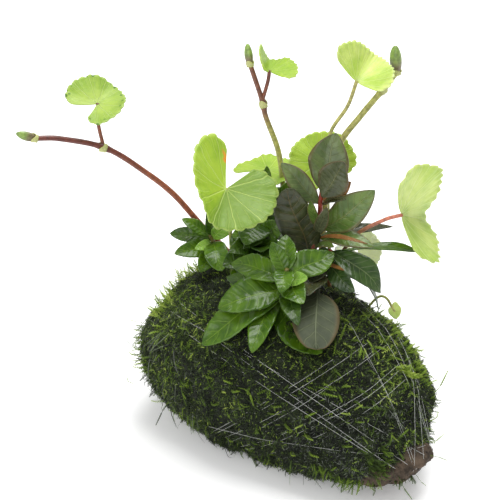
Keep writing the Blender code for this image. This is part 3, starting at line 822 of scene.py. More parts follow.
def growLongLeaves():
    models = {plant: modelLongBlade(plan) for plant, plan in bladePlans.items()}
    for stem, leaves in longLeaves.items():
        plant = stem.split("_")[0]
        way, radius = stemWays[stem]
        for number, plan in enumerate(leaves, start=1):
            chance = random.Random(f"{stem}{number}")
            tip = inMm(plan["tip"]) if isinstance(plan["tip"], tuple) else plan["tip"]
            spot, along = spotOn(way, plan["at"])
            outward = tip - spot
            outward = (outward - along * outward.dot(along)).normalized()
            base = spot + outward * radius * 0.7
            node = f"{stem}_leaf_{number}"
            blade = layLongBlade(models[plan.get("model", plant)], base, tip, plan, chance)
            top = finishes[plan.get("finish", plant + plan["look"] + "Leaf")]
            nodes = [node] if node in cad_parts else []
            finishPiece(blade, node + "Blade", [top, finishes[plant + "Underside"]], nodes)
        print("leaves grown:", stem, len(leaves))
    for model in models.values():
        throwAway(model)


growLongLeaves()


# round leaves

roundBlade = dict(ringSteps=12, rimSteps=120, sweep=300, crenations=20, notchDepth=0.042, rounding=0.12,
                  crease=0.16)

roundLeaves = {
    "pennywort_leaf_left": dict(
        stem="pennywort_runner_left", at=0.73, stalk=[(-73, 32, 120)], centre=(-73, 30, 129),
        faces=(0, -0.4, 0.92), notch=(-0.7, -0.55, -0.3), radius=12.6, folds=(15, 20), openings=(30, 30),
        look="Spotted", stalkFinish="darkRedStalk",
    ),
    "pennywort_leaf_middle": dict(
        stem="pennywort_runner_middle", at=0.82, stalk=[(-7, 34, 137)], centre=(-6.5, 34, 141),
        faces=(0, -0.1, 1), notch=(0, -1, -0.3), radius=11, folds=(5, 70), openings=(40, 40), look="",
        stalkFinish="darkRedStalk",
    ),
    "pennywort_leaf_top": dict(
        root=(18, 28), stalk=[(17, 30, 115), (24, 33, 127)], centre=(27, 33, 137), faces=(0.1, -0.65, 0.75),
        notch=(-0.6, -0.5, -0.6), radius=16.5, folds=(35, 35), openings=(84, 88), look="Pale",
    ),
    "pennywort_leaf_right": dict(
        root=(17, 7), stalk=[(22, 8, 76), (27, 7, 84), (38, 6, 91)], centre=(44.5, 6, 93),
        faces=(0.84, -0.48, 0.25), notch=(-0.54, -0.75, 0.38), radius=23, folds=(30, 35), openings=(80, 42),
        look="Pale", stalkFinish="pinkStalk",
    ),
    "pennywort_leaf_front": dict(
        root=(-21, 21), stalk=[(-22, 19, 84), (-23, 8, 98)], centre=(-23, 0, 107), faces=(0.4, -0.55, 0.73),
        notch=(0.28, 0.45, 0.8), radius=20.5, folds=(30, 5), openings=(12, 40), look="Scorched",
    ),
    "pennywort_leaf_back_left": dict(
        root=(-6, 28), stalk=[(-8, 34, 84)], centre=(-7, 37, 97.5), faces=(-0.02, -0.02, 1),
        notch=(-0.8, -0.6, 0), radius=15, folds=(5, -12), openings=(45, 40), look="",
    ),
    "pennywort_leaf_back_right": dict(
        root=(6, 28), stalk=[(9, 33, 90)], centre=(13.5, 34, 102), faces=(0.1, -0.75, 0.65),
        notch=(0.5, -0.5, -0.7), radius=14, folds=(10, 15), openings=(35, 35), look="",
    ),
    "pennywort_leaf_pale": dict(
        root=(19, 13), stalk=[(25, 18, 64)], centre=(28.5, 19, 70), faces=(0.15, -0.85, 0.5),
        notch=(-0.5, 0, 0.9), radius=10, folds=(25, 25), openings=(25, 25), look="Faded",
    ),
    "pennywort_leaf_small": dict(
        root=(33, 6), stalk=[(38, 6, 57.5)], centre=(42.5, 5, 51.5), faces=(0.7, -0.5, 0.5),
        notch=(-0.3, 0, 1), radius=3.6, folds=(10, 10), openings=(25, 25), look="Pale",
    ),
}


def modelRoundBlade():
    # one spoke from the stalk's spot to the rim, spun round, with its rim drawn in between the scallops
    plan = roundBlade
    bpy.ops.mesh.primitive_grid_add(
        x_subdivisions=plan["ringSteps"], y_subdivisions=1, size=1, location=(0.5, 0.5, 0)
    )
    blade = bpy.context.object
    settlePlace(blade)
    selectPoints(blade, lambda place: place.y > 0.5)
    bpy.ops.mesh.delete(type="VERT")
    bpy.ops.mesh.select_all(action="SELECT")
    bpy.ops.mesh.spin(
        steps=plan["rimSteps"], angle=math.radians(plan["sweep"]), center=(0, 0, 0), axis=(0, 0, -1)
    )
    bpy.ops.mesh.select_all(action="SELECT")
    bpy.ops.mesh.remove_doubles(threshold=0.0001)
    leaveEdit()
    stepAngle = plan["sweep"] / plan["rimSteps"]
    perScallop = plan["rimSteps"] // plan["crenations"]
    for depth, members in ((1.0, (0,)), (0.35, (1, perScallop - 1))):
        def onRim(place):
            step = round(sweptAngle(place) / stepAngle)
            return place.length > 0.99 and step % perScallop in members
        selectPoints(blade, onRim)
        shrink = 1 - plan["notchDepth"] * depth
        bpy.ops.transform.resize(value=(shrink, shrink, 1), center_override=(0, 0, 0))
        leaveEdit()
    if not blade.data.uv_layers:
        blade.data.uv_layers.new(name="flatPlan")
    plans = blade.data.uv_layers.active.data
    for loop in blade.data.loops:
        place = blade.data.vertices[loop.vertex_index].co
        plans[loop.index].uv = (place.x / 2 + 0.5, place.y / 2 + 0.5)
    return blade


def sweptAngle(place):
    # degrees from the first spoke, the way the spin went
    angle = math.degrees(math.atan2(place.y, place.x)) % 360
    return 0 if angle > 350 else angle


def layRoundBlade(model, plan, chance):
    # lays a copy of the flat round blade at its stalk's end, folded about the line through its notch
    centre = inMm(plan["centre"])
    facing = Vector(plan["faces"]).normalized()
    notch = Vector(plan["notch"])
    notch = (notch - facing * notch.dot(facing)).normalized()
    sideways = facing.cross(notch)
    radius = plan["radius"] / 1000
    crease = roundBlade["crease"] * radius
    openings = [math.radians(opening) for opening in plan["openings"]]
    folds = [math.radians(fold) for fold in plan["folds"]]
    phase = chance.uniform(0, 6)
    blade = copyOf(model)
    for vert in blade.data.vertices:
        reach = math.hypot(vert.co.x, vert.co.y)
        turned = sweptAngle(vert.co) / roundBlade["sweep"]
        angle = openings[0] + turned * (2 * math.pi - sum(openings))
        fromNotch = min(turned, 1 - turned) / roundBlade["rounding"]
        rounding = 1 - 0.3 * max(0, 1 - fromNotch) ** 2
        uneven = 1 + 0.014 * reach ** 4 * noise.noise(Vector((turned * 26, phase, 0)))
        distance = radius * reach * rounding * (1 + 0.12 * math.cos(angle)) * uneven
        side = distance * math.sin(angle)
        fold = folds[0] if side > 0 else folds[1]
        lift = (math.hypot(side, crease) - crease) * math.sin(fold)
        lift += 0.07 * radius * reach ** 2 * (1 + math.cos(3 * angle))
        lift += 0.03 * radius * reach ** 3 * math.sin(7 * angle + phase)
        lift += 0.018 * radius * reach ** 6 * math.sin(roundBlade["crenations"] * 2 * math.pi * turned)
        spot = centre + notch * distance * math.cos(angle) + sideways * side * math.cos(fold)
        vert.co = spot + facing * lift
    settleBlade(blade, facing, 0.0004)
    return blade


def growRoundLeaves():
    model = modelRoundBlade()
    for name, plan in roundLeaves.items():
        blade = layRoundBlade(model, plan, random.Random(name))
        looks = [finishes["pennywort" + plan["look"] + "Leaf"], finishes["pennywortUnderside"]]
        finishPiece(blade, name + "Blade", looks, [name])
        end = inMm(plan["centre"]) - Vector(plan["notch"]).normalized() * 0.0003
        stalk = [inMm(point) for point in plan["stalk"]] + [end]
        if "root" in plan:
            points = rootedWay(plan["root"], stalk)
        else:
            points = [spotOn(stemWays[plan["stem"]][0], plan["at"])[0]] + stalk
        way = smoothWay(points, 8)
        thickness = 0.0005 if plan["radius"] < 5 else 0.00075
        tube = drawTube(way, [thickness] * len(way))
        colour = finishes[plan.get("stalkFinish", "greenStalk")]
        finishPiece(tube, name + "Stalk", [colour], [name])
    throwAway(model)
    print("round leaves grown:", len(roundLeaves))


growRoundLeaves()


# moss

heart = Vector((0, 0, 0.027))
matLumps = ((60, 0.0016), (170, 0.0016), (480, 0.0006))
matInset = 0.0008  # leaves room for the sprigs


def outwardFrom(place):
    return (place - heart).normalized()


def modelMossMat():
    # the mat's solid, drawn in and roughened
    mat = remeshedSolid("moss_mat")
    applyModifier(mat, "SMOOTH", factor=0.5, iterations=6)
    normals = [vert.normal.copy() for vert in mat.data.vertices]
    for vert, normal in zip(mat.data.vertices, normals):
        outward = outwardFrom(vert.co)
        if normal.dot(outward) > 0.2:
            vert.co += outward * (roughness(vert.co, matLumps) - matInset)
    return mat


mossColours = [
    (0.0, (0.003, 0.005, 0.002)), (0.2, (0.01, 0.016, 0.005)), (0.4, (0.033, 0.055, 0.01)),
    (0.6, (0.1, 0.175, 0.018)), (0.8, (0.24, 0.37, 0.035)), (1.0, (0.52, 0.64, 0.13)),
]
# a grey painted over some sprigs: a painted sheen that stands in for the glints on wet moss
paintedSheenGrey = (0.2, 0.22, 0.19)


def mossFinish():
    finish = newFinish("mossSprigs", 0.42, Specular_IOR_Level=0.3)
    desk = NodeDesk(finish)
    # the sprigs' tone, blended to the painted sheen grey where the sheen attribute is set
    desk.colour(desk.blend(desk.noted("sheen"), desk.ramp(desk.noted("tone"), mossColours), paintedSheenGrey))
    return finish


def matFinish():
    finish = newFinish("mossMatDark", 0.6, Specular_IOR_Level=0.2)
    desk = NodeDesk(finish)
    fine = desk.cloud(1400, 4.0, 0.7)
    desk.colour(desk.ramp(fine * 0.55 + desk.cloud(120, 3.0, 0.6) * 0.45, [
        (0.42, (0.003, 0.004, 0.003)), (0.52, (0.01, 0.014, 0.007)), (0.6, (0.026, 0.038, 0.012)),
        (0.68, (0.055, 0.08, 0.018)),
    ]))
    desk.bump(fine, 0.0008)
    return finish


def joinParts(parts):
    bpy.ops.object.select_all(action="DESELECT")
    for part in parts:
        part.select_set(True)
    bpy.context.view_layer.objects.active = parts[0]
    bpy.ops.object.join()
    settlePlace(parts[0])
    return parts[0]


def addSpike(length, thick, base, turn, raised=0.0, flat=1.0):
    # a three-sided spike from its base, turned sideways and raised, in degrees
    turn, raised = math.radians(turn), math.radians(raised)
    way = Vector((math.cos(turn) * math.cos(raised), math.sin(turn) * math.cos(raised), math.sin(raised)))
    bpy.ops.mesh.primitive_cone_add(
        vertices=3, radius1=thick, radius2=0, depth=length, location=Vector(base) + way * length / 2,
        rotation=(0, math.pi / 2 - raised, turn), scale=(flat, 1, 1),
    )
    return bpy.context.object


def modelFrond(pairs, spread, leafLength, lean):
    # a feathered moss shoot of length 1 along +X, with small leaves to both sides and above
    parts = [addSpike(1, 0.03, (0, 0, 0), 0)]
    for number in range(pairs):
        share = spread[0] + (spread[1] - spread[0]) * number / (pairs - 1)
        length = leafLength * (1 - 0.45 * share ** 2)
        for side in (1, -1):
            base = (share - (0.02 if side > 0 else 0), 0, 0)
            turn = side * lean * (1 - 0.3 * share)
            parts.append(addSpike(length, 0.036, base, turn, raised=8, flat=0.8))
        parts.append(addSpike(length * 0.8, 0.036, (share, 0, 0.01), 12, raised=34, flat=0.8))
    return joinParts(parts)


def modelStrand():
    # a long thin moss stem along +X
    bpy.ops.mesh.primitive_cone_add(
        vertices=3, radius1=0.013, radius2=0.005, depth=1, location=(0.5, 0, 0), rotation=(0, math.pi / 2, 0)
    )
    strand = bpy.context.object
    settlePlace(strand)
    for step in range(1, 8):
        editAll(strand)
        bpy.ops.mesh.bisect(plane_co=(step / 8, 0, 0), plane_no=(1, 0, 0))
        leaveEdit()
    return strand


def readModel(model):
    points = np.array([tuple(vert.co) for vert in model.data.vertices])
    faces = np.array([(*face.vertices, -1)[:4] for face in model.data.polygons if len(face.vertices) < 5])
    return points, faces


class MossGround:
    # the mat's outer faces: places, directions and areas, to sow sprigs on
    def __init__(self, mat, stone):
        faces = mat.data.polygons

        def read(what, width):
            values = np.empty(len(faces) * width)
            faces.foreach_get(what, values)
            return values.reshape(-1, width)

        centres, normals, areas = read("center", 3), read("normal", 3), read("area", 1)[:, 0]
        outward = centres - np.array(heart)
        outward /= np.linalg.norm(outward, axis=1)[:, None]
        outer = ((normals * outward).sum(axis=1) > 0.25) & (centres[:, 2] > 0.0022)
        self.places, self.normals, self.areas = centres[outer], normals[outer], areas[outer]
        self.tree = treeOf(mat, stone)
        self.regions = nameRegions(self.places, self.normals)

    def inPicture(self, x, y, reach=None):
        # the spot of the moss behind a dot of the picture, or a spot in the air as far away as reach
        sight = sightLine(x, y)
        hit, normal = self.tree.ray_cast(cameraPlace, sight)[:2]
        if hit is None:
            return cameraPlace + sight * (reach or studio["distance"]), None
        return hit, normal


def nameRegions(places, normals):
    # how much of each kind of moss grows where, and where its tone is painted lighter or darker for the
    # light, from 0 to 1
    x, y, z = places.T * 1000

    def rise(value, start, width):
        return np.clip((value - start) / width, 0, 1)

    clumps = np.array([noise.noise(Vector(place) * 90) for place in places])
    return dict(
        ridge=rise(z, 40, 14) * rise(-x - 0.2 * y, 28, 14), leftEnd=rise(-x, 30, 16),
        top=rise(normals[:, 2], 0.45, 0.3) * rise(x, -10, 20), rightEdge=rise(x, 30, 10) * rise(z, 36, 6),
        face=rise(-normals[:, 1], 0.5, 0.2) * rise(x, -5, 20) * rise(-z, -44, 6), foot=rise(-z, -14, 8),
        clumps=np.clip(0.5 + clumps, 0, 1.2), all=np.ones(len(places)),
    )


# per kind of sprig: where it grows, how its tone shifts by region (painted light and shade, and the moss's
# own clumped tone), and where it gets a painted sheen
sowings = {
    "mossLeaflets": dict(
        pieces=3, count=40000, model="leaflet", length=(0.001, 0.0024), plump=(0.8, 1.4), lift=(0.05, 0.9),
        bend=(-0.1, 0.1), tones=(0.0, 0.14, 0.42, 0.7), shares=(0.54, 0.26, 0.14, 0.06), spread=0.06,
        grow=dict(all=1.0),
        paintedLightAndTone=dict(ridge=0.28, leftEnd=0.1, top=0.06, rightEdge=0.2, clumps=0.22, face=-0.06),
        sheen=dict(all=0.03, face=0.2, leftEnd=0.04), down=0.3,
    ),
    "mossShoots": dict(
        pieces=2, count=2000, model="shoot", length=(0.0026, 0.0052), plump=(0.8, 1.3), lift=(0.05, 0.55),
        bend=(-0.9, 0.2), tones=(0.1, 0.32, 0.62), shares=(0.5, 0.33, 0.17), spread=0.07,
        grow=dict(all=0.6, clumps=0.8, leftEnd=0.8, ridge=1.0, top=0.5, face=-0.5),
        paintedLightAndTone=dict(ridge=0.34, rightEdge=0.22, clumps=0.14, face=-0.06), sheen=dict(), down=0.8,
    ),
    "mossStrands": dict(
        pieces=1, count=1800, model="strand", length=(0.005, 0.012), plump=(0.8, 1.4), lift=(0.0, 0.25),
        bend=(-0.7, -0.1), tones=(0.16, 0.34, 0.5), shares=(0.4, 0.4, 0.2), spread=0.06,
        grow=dict(all=0.5, leftEnd=1.5), paintedLightAndTone=dict(leftEnd=0.08, ridge=0.2),
        sheen=dict(leftEnd=0.15, all=0.08), down=1.2,
    ),
    "mossTips": dict(
        pieces=1, count=340, model="tip", length=(0.003, 0.0056), plump=(0.9, 1.3), lift=(0.1, 0.7),
        bend=(-0.9, 0.1), tones=(0.55, 0.72, 0.88), shares=(0.35, 0.4, 0.25), spread=0.06,
        grow=dict(all=0.12, ridge=1.7, top=0.6, rightEdge=1.6, foot=0.4, leftEnd=0.25, face=-0.1),
        paintedLightAndTone=dict(ridge=0.12, rightEdge=0.1), sheen=dict(), down=0.5,
    ),
}


def mixRegions(shares, regions, chosen=slice(None)):
    total = 0
    for region, share in shares.items():
        total = total + regions[region][chosen] * share
    return total


def sow(name, model, ground, plan, seed):
    # copies of one sprig, each with its own turn, length and curl, joined in one piece
    chance = np.random.default_rng(seed)
    count = plan["count"]

    def draw(what):
        return chance.uniform(*plan[what], size=count)[:, None]

    weights = ground.areas * np.maximum(mixRegions(plan["grow"], ground.regions), 0)
    chosen = chance.choice(len(ground.places), size=count, p=weights / weights.sum())
    places, normals = ground.places[chosen], ground.normals[chosen]
    ways = chance.normal(size=(count, 3))
    ways[:, 2] -= plan["down"]
    ways -= normals * (ways * normals).sum(axis=1)[:, None]
    ways /= np.linalg.norm(ways, axis=1)[:, None]
    lift = draw("lift")
    ways = ways * np.cos(lift) + normals * np.sin(lift)
    sides = np.cross(normals, ways)
    sides /= np.linalg.norm(sides, axis=1)[:, None]
    tops = np.cross(ways, sides)
    long = draw("length")
    plump = long * draw("plump")
    bend = draw("bend")
    sway = chance.normal(scale=0.18, size=count)[:, None]
    points, faces = readModel(model)
    x, y, z = points.T[:, None, :]
    curl = np.where(np.abs(bend) < 0.01, 0.01, bend)
    forward = np.sin(curl * x) / curl - z * np.sin(curl * x) * plump / long
    rise = (1 - np.cos(curl * x)) / curl + z * np.cos(curl * x) * plump / long
    across = y * plump / long + sway * x ** 2
    spots = places[:, None, :] - normals[:, None, :] * 0.0003 + long[:, :, None] * (
        forward[:, :, None] * ways[:, None, :] + across[:, :, None] * sides[:, None, :]
        + rise[:, :, None] * tops[:, None, :]
    )
    tone = chance.choice(plan["tones"], p=plan["shares"], size=count)
    tone = tone + chance.normal(scale=plan["spread"], size=count)
    # painted light and shade: sprigs on the ridge, the right edge and the tops are made lighter for the
    # light falling on them, sprigs on the face darker for its shade; clumps and the left end shift the
    # moss's own tone
    tone = tone + mixRegions(plan["paintedLightAndTone"], ground.regions, chosen)
    tone = tone[:, None] + 0.12 * (x - 0.5)
    # some sprigs, most of them on the face, are marked for the painted sheen
    sheen = (chance.random(count) < mixRegions({"all": 0.0, **plan["sheen"]}, ground.regions, chosen)) * 0.7
    sheen = np.repeat(sheen, len(points))
    shift = np.arange(count)[:, None, None] * len(points)
    allFaces = np.where(faces[None] < 0, -1, faces[None] + shift).reshape(-1, faces.shape[1])
    return makeSprigs(name, spots.reshape(-1, 3), allFaces, tone.ravel(), sheen)


def makeSprigs(name, spots, faces, tone, sheen):
    mesh = bpy.data.meshes.new(name)
    spots[:, 2] = np.maximum(spots[:, 2], 0.0003)
    corners = [[corner for corner in face if corner >= 0] for face in faces.tolist()]
    mesh.from_pydata(spots.tolist(), [], corners)
    for note, values in (("tone", np.clip(tone, 0, 1)), ("sheen", sheen)):
        mesh.attributes.new(note, "FLOAT", "POINT").data.foreach_set("value", values.astype(np.float32))
    made = bpy.data.objects.new(name, mesh)
    bpy.context.scene.collection.objects.link(made)
    return made


# sprigs that stand out in the picture: foot x and y and tip x and y in its dots, and tone
pictureSprigs = [
    (180, 294, 193, 291, 0.8), (181, 308, 181, 297, 0.62), (190, 296, 194, 303, 0.68),
    (203, 309, 208, 324, 0.66), (213, 312, 217, 321, 0.7), (197, 310, 198, 318, 0.62),
    (163, 319, 151, 317, 0.85), (166, 328, 154, 327, 0.82), (161, 331, 150, 334, 0.8),
    (154, 356, 145, 358, 0.62), (205, 375, 215, 378, 0.74), (180, 379, 191, 386, 0.62),
    (160, 381, 163, 369, 0.66), (164, 366, 171, 354, 0.6), (172, 374, 174, 365, 0.66),
    (240, 364, 247, 369, 0.56), (233, 384, 224, 379, 0.8), (231, 391, 241, 391, 0.76),
    (250, 386, 248, 394, 0.66), (250, 406, 241, 402, 0.72), (211, 402, 219, 404, 0.66),
    (212, 384, 205, 388, 0.6), (338, 344, 346, 325, 0.72), (336, 339, 334, 356, 0.66),
    (300, 351, 302, 371, 0.62), (311, 386, 338, 392, 0.66), (318, 392, 339, 397, 0.7),
    (341, 388, 351, 387, 0.7), (331, 367, 343, 379, 0.6), (349, 340, 361, 343, 0.66),
    (352, 351, 350, 361, 0.66), (358, 361, 361, 347, 0.76), (361, 350, 362, 361, 0.72),
    (374, 352, 367, 341, 0.8), (374, 350, 378, 361, 0.76), (374, 347, 386, 351, 0.78),
    (378, 335, 367, 337, 0.62), (376, 326, 381, 319, 0.7), (360, 323, 369, 317, 0.62),
    (388, 357, 402, 362, 0.74), (366, 371, 375, 376, 0.64), (394, 326, 405, 325, 0.8),
    (395, 341, 400, 334, 0.72), (402, 371, 412, 379, 0.84), (404, 379, 420, 373, 0.88),
    (398, 366, 408, 372, 0.78), (412, 353, 423, 350, 0.88), (413, 360, 420, 367, 0.84),
    (416, 371, 427, 374, 0.86), (421, 378, 430, 389, 0.88), (429, 421, 437, 411, 0.84),
    (424, 428, 431, 429, 0.8), (354, 401, 363, 409, 0.62), (388, 410, 362, 409, 0.52),
    (354, 421, 365, 422, 0.68), (344, 421, 351, 423, 0.7), (345, 442, 352, 439, 0.72),
    (341, 446, 354, 447, 0.66), (363, 438, 368, 445, 0.72), (389, 446, 391, 435, 0.66),
    (397, 440, 408, 430, 0.66), (303, 418, 318, 412, 0.72), (304, 433, 315, 440, 0.78),
    (284, 423, 294, 431, 0.7), (284, 352, 290, 358, 0.62), (267, 391, 273, 399, 0.68),
    (269, 405, 283, 406, 0.72), (267, 413, 277, 414, 0.68), (291, 451, 297, 455, 0.8),
    (308, 452, 321, 457, 0.78), (299, 464, 308, 465, 0.76), (225, 436, 235, 441, 0.74),
    (250, 440, 260, 443, 0.6), (256, 424, 260, 433, 0.56), (345, 481, 355, 478, 0.78),
    (240, 451, 245, 457, 0.6), (199, 389, 207, 406, 0.58), (374, 428, 370, 437, 0.56),
    (152, 393, 162, 399, 0.84), (163, 401, 152, 400, 0.84), (140, 356, 130, 352, 0.84),
    (142, 361, 132, 360, 0.86), (142, 351, 134, 346, 0.8), (144, 342, 136, 348, 0.7),
    (352, 484, 344, 489, 0.8), (360, 480, 356, 490, 0.78), (368, 482, 374, 490, 0.74),
    (380, 480, 376, 488, 0.72), (338, 474, 343, 481, 0.7), (330, 470, 338, 466, 0.66),
    (404, 460, 398, 452, 0.6), (350, 466, 360, 470, 0.66),
]
# fringes that show at an edge of the moss: the edge, how many sprigs, how deep in dots their feet stand,
# their reach in dots, the way they lean, and their tone; the bright tones on the upper-left and right edges
# are partly the sprigs' own colour, partly painted light shining through them
fringeEdges = [
    (((198, 258), (187, 268), (178, 276), (171, 288), (167, 299), (161, 309), (155, 317)), 74, 7, (4, 11),
     (-0.75, -0.65), 0.86),
    (((133, 326), (134, 340), (138, 354), (146, 372)), 26, 6, (4, 9), (-1.0, 0.1), 0.72),
    (((372, 308), (396, 326), (412, 348), (419, 368), (430, 384)), 58, 8, (4, 9), (0.75, -0.45), 0.74),
    (((400, 368), (410, 376), (422, 380)), 26, 7, (5, 10), (0.6, 0.1), 0.84),
    (((310, 466), (340, 482), (358, 487), (384, 484)), 40, 7, (4, 9), (0.0, 0.9), 0.62),
    (((136, 350), (150, 384), (180, 414), (226, 444), (272, 464), (310, 478)), 64, 8, (3, 9), (-0.5, 0.85),
     0.34),
    (((200, 262), (224, 268), (246, 292)), 30, 6, (4, 9), (-0.3, -0.9), 0.5),
    (((434, 396), (436, 412), (430, 430), (430, 444)), 24, 5, (3, 7), (0.9, 0.2), 0.58),
    (((372, 452), (376, 462), (378, 470), (380, 478)), 120, 16, (4, 9), (0.8, 0.4), 0.42),
    (((384, 446), (388, 456), (387, 466), (384, 476)), 60, 8, (4, 8), (0.8, 0.3), 0.52),
    (((386, 441), (402, 443), (416, 440), (429, 437)), 44, 5, (3, 7), (0.2, 0.9), 0.46),
    (((394, 482), (404, 482), (414, 478)), 16, 3, (3, 7), (0.1, 0.9), 0.5),
]
# long stray threads with a leafy end
pictureStrays = [
    ((432, 396), (439, 386), (447, 370), 0.82), ((430, 442), (437, 440), (445, 433), 0.84),
    ((430, 455), (438, 458), (446, 461), 0.76), ((417, 476), (420, 481), (425, 485), 0.76),
    ((398, 476), (404, 487), (412, 498), 0.6), ((168, 402), (163, 412), (157, 425), 0.4),
    ((144, 323), (137, 322), (129, 320), 0.8), ((136, 346), (131, 343), (126, 339), 0.5),
    ((190, 266), (187, 262), (184, 257), 0.76), ((236, 387), (249, 392), (254, 406), 0.8),
    ((262, 412), (254, 406), (250, 396), 0.66), ((275, 456), (278, 462), (279, 469), 0.66),
]
footDepth = 0.0004  # how deep the feet of these sprigs stand
farthest = 0.016  # a sprig that would be longer has missed the nearby moss


def placeOnMoss(ground, dot, like=None):
    # the spot and outward direction behind a dot of the picture; in the air beside the moss when it misses
    spot, normal = ground.inPicture(*dot, (like - cameraPlace).length if like else None)
    if normal is None:
        return spot, outwardFrom(spot)
    return spot, normal


def startOnMoss(ground, foot, tip):
    # the foot of a sprig, drawn back from its tip until it stands on the moss
    foot, tip = Vector(foot), Vector(tip)
    back = (foot - tip).normalized()
    for _ in range(30):
        if ground.inPicture(*foot)[1] is not None:
            break
        foot += back
    return placeOnMoss(ground, foot)


def growAlong(model, spots, outwards, plump, tone):
    # bends one sprig's model along a few spots
    points, faces = readModel(model)
    long = wayLength(spots)
    made = []
    for x, y, z in points:
        share = min(0.999, max(0.0, x)) * (len(spots) - 1)
        index = int(share)
        spot = spots[index].lerp(spots[index + 1], share - index)
        along = (spots[index + 1] - spots[index]).normalized()
        outward = outwards[index].lerp(outwards[index + 1], share - index)
        across = outward.cross(along).normalized()
        above = along.cross(across)
        made.append(spot + (across * y + above * z) * long * plump)
    return made, faces, tone + 0.14 * (points[:, 0] - 0.5)


def growSingleSprigs(ground, tip, chance):
    grown = []
    for footX, footY, tipX, tipY, tone in pictureSprigs:
        start, out = startOnMoss(ground, (footX, footY), (tipX, tipY))
        end, endOut = placeOnMoss(ground, (tipX, tipY), start)
        if (end - start).length > farthest:
            end, endOut = start + (end - start).normalized() * 0.005, out
        middle = (start + end) / 2 + (out + endOut) * chance.uniform(0.0004, 0.0009)
        end = end + endOut * chance.uniform(0.0003, 0.0012)
        spots = smoothWay([start - out * footDepth, middle, end], 3)
        outs = [out.lerp(endOut, index / (len(spots) - 1)) for index in range(len(spots))]
        plump = chance.uniform(0.9, 1.2) * min(1.0, 0.0055 / (end - start).length)
        grown.append(growAlong(tip, spots, outs, plump, tone))
    return grown


def growFringes(ground, tip, chance):
    grown = []
    for points, count, depth, reaches, lean, edgeTone in fringeEdges:
        lean = Vector(lean).normalized()
        for _ in range(count):
            share = chance.uniform(0, 0.999) * (len(points) - 1)
            index = int(share)
            near = Vector(points[index]).lerp(Vector(points[index + 1]), share - index)
            foot = near - lean * chance.uniform(0, depth)
            while ground.inPicture(*foot)[1] is None:  # steps inward to the moss's edge
                foot -= lean
            start, out = placeOnMoss(ground, foot)
            turn = chance.gauss(0, 0.45)
            across = lean.x * math.cos(turn) - lean.y * math.sin(turn)
            down = lean.x * math.sin(turn) + lean.y * math.cos(turn)
            reach = chance.uniform(*reaches) * studio["dot"]
            end = start + (rightward * across - pictureUp * down) * reach + out * reach * 0.4
            middle = (start + end) / 2 + out * reach * chance.uniform(0.0, 0.25)
            spots = smoothWay([start - out * footDepth, middle, end], 3)
            side = out.lerp(-sightLine(*foot), 0.6).normalized()
            plump = chance.uniform(0.9, 1.3)
            tone = edgeTone + chance.gauss(0, 0.08)
            grown.append(growAlong(tip, spots, [side] * len(spots), plump, tone))
    return grown


def growStrays(ground, models):
    grown = []
    for foot, middle, tip, tone in pictureStrays:
        start, out = startOnMoss(ground, foot, middle)
        bend = placeOnMoss(ground, middle, start)[0]
        end = placeOnMoss(ground, tip, start)[0]
        if (bend - start).length > farthest or (end - bend).length > farthest:
            continue
        spots = smoothWay([start - out * footDepth, bend + out * 0.0006, end + out * 0.0006], 4)
        toCamera = [-sightLine(*foot)] * len(spots)
        grown.append(growAlong(models["strand"], spots, toCamera, 1.4, tone - 0.1))
        leafy = [spots[4].lerp(spots[-1], share / 4) for share in range(5)]
        grown.append(growAlong(models["tip"], leafy, toCamera[:5], 0.8, tone))
    return grown


def growPictureSprigs(ground, models):
    chance = random.Random(3)
    grown = growSingleSprigs(ground, models["tip"], chance) + growFringes(ground, models["tip"], chance)
    grown += growStrays(ground, models)
    counts = np.cumsum([0] + [len(made) for made, _, _ in grown])
    spots = np.array([tuple(spot) for made, _, _ in grown for spot in made])
    allFaces = [np.where(faces < 0, -1, faces + start) for (_, faces, _), start in zip(grown, counts)]
    tone = np.concatenate([tones for _, _, tones in grown])
    return makeSprigs("mossPictureSprigs", spots, np.concatenate(allFaces), tone, np.zeros(len(spots)))


def growMoss(stone):
    mat = modelMossMat()
    ground = MossGround(mat, stone)
    models = dict(
        leaflet=joinParts([addSpike(1, 0.11, (0, 0, 0), 0, flat=0.7)]), strand=modelStrand(),
        shoot=modelFrond(5, (0.05, 0.85), 0.24, 44), tip=modelFrond(8, (0.04, 0.88), 0.19, 40),
    )
    finish = mossFinish()
    for name, plan in sowings.items():
        for number in range(1, plan["pieces"] + 1):
            pieceName = f"{name}{number}"
            piece = sow(pieceName, models[plan["model"]], ground, plan, 10 * number + len(name))
            finishPiece(piece, pieceName, [finish])
        print("moss sown:", name)
    finishPiece(growPictureSprigs(ground, models), "mossPictureSprigs", [finish])
    finishPiece(mat, "mossMat", [matFinish()], ["moss_mat"])
    for model in models.values():
        throwAway(model)
    return ground


# stone

stoneLumps = ((130, 0.0012), (320, 0.001), (900, 0.0005))
stoneInset = 0.0006


def shapeStone():
    stone = remeshedSolid("lava_stone")
    for vert in stone.data.vertices:
        if vert.co.z > 0.0006:
            vert.co += outwardFrom(vert.co) * (roughness(vert.co, stoneLumps) - stoneInset)
    finish = newFinish("lavaStone", 0.8, Specular_IOR_Level=0.25)
    desk = NodeDesk(finish)
    patches = desk.step(desk.cloud(160, 4.0, 0.65), 0.35, 0.65)
    body = desk.blend(patches, (0.026, 0.019, 0.013), (0.105, 0.074, 0.05))
    # the pits are painted near black, a painted shade for the depth of the holes, and are bumped in below
    pits = desk.step(desk.cells(420), 0.26, 0.12)
    desk.colour(desk.blend(pits, body, (0.015, 0.008, 0.006)))
    desk.bump(desk.cloud(500, 4.0) - pits, 0.0008)
    print("stone shaped")
    return finishPiece(stone, "lavaStone", [finish], ["lava_stone"])


mossGround = growMoss(shapeStone())
print("moss grown")


# line

linePlan = dict(radius=0.000045, shown=0.0009, hidden=-0.0002, lowest=0.0004, points=200, straight=0.6)
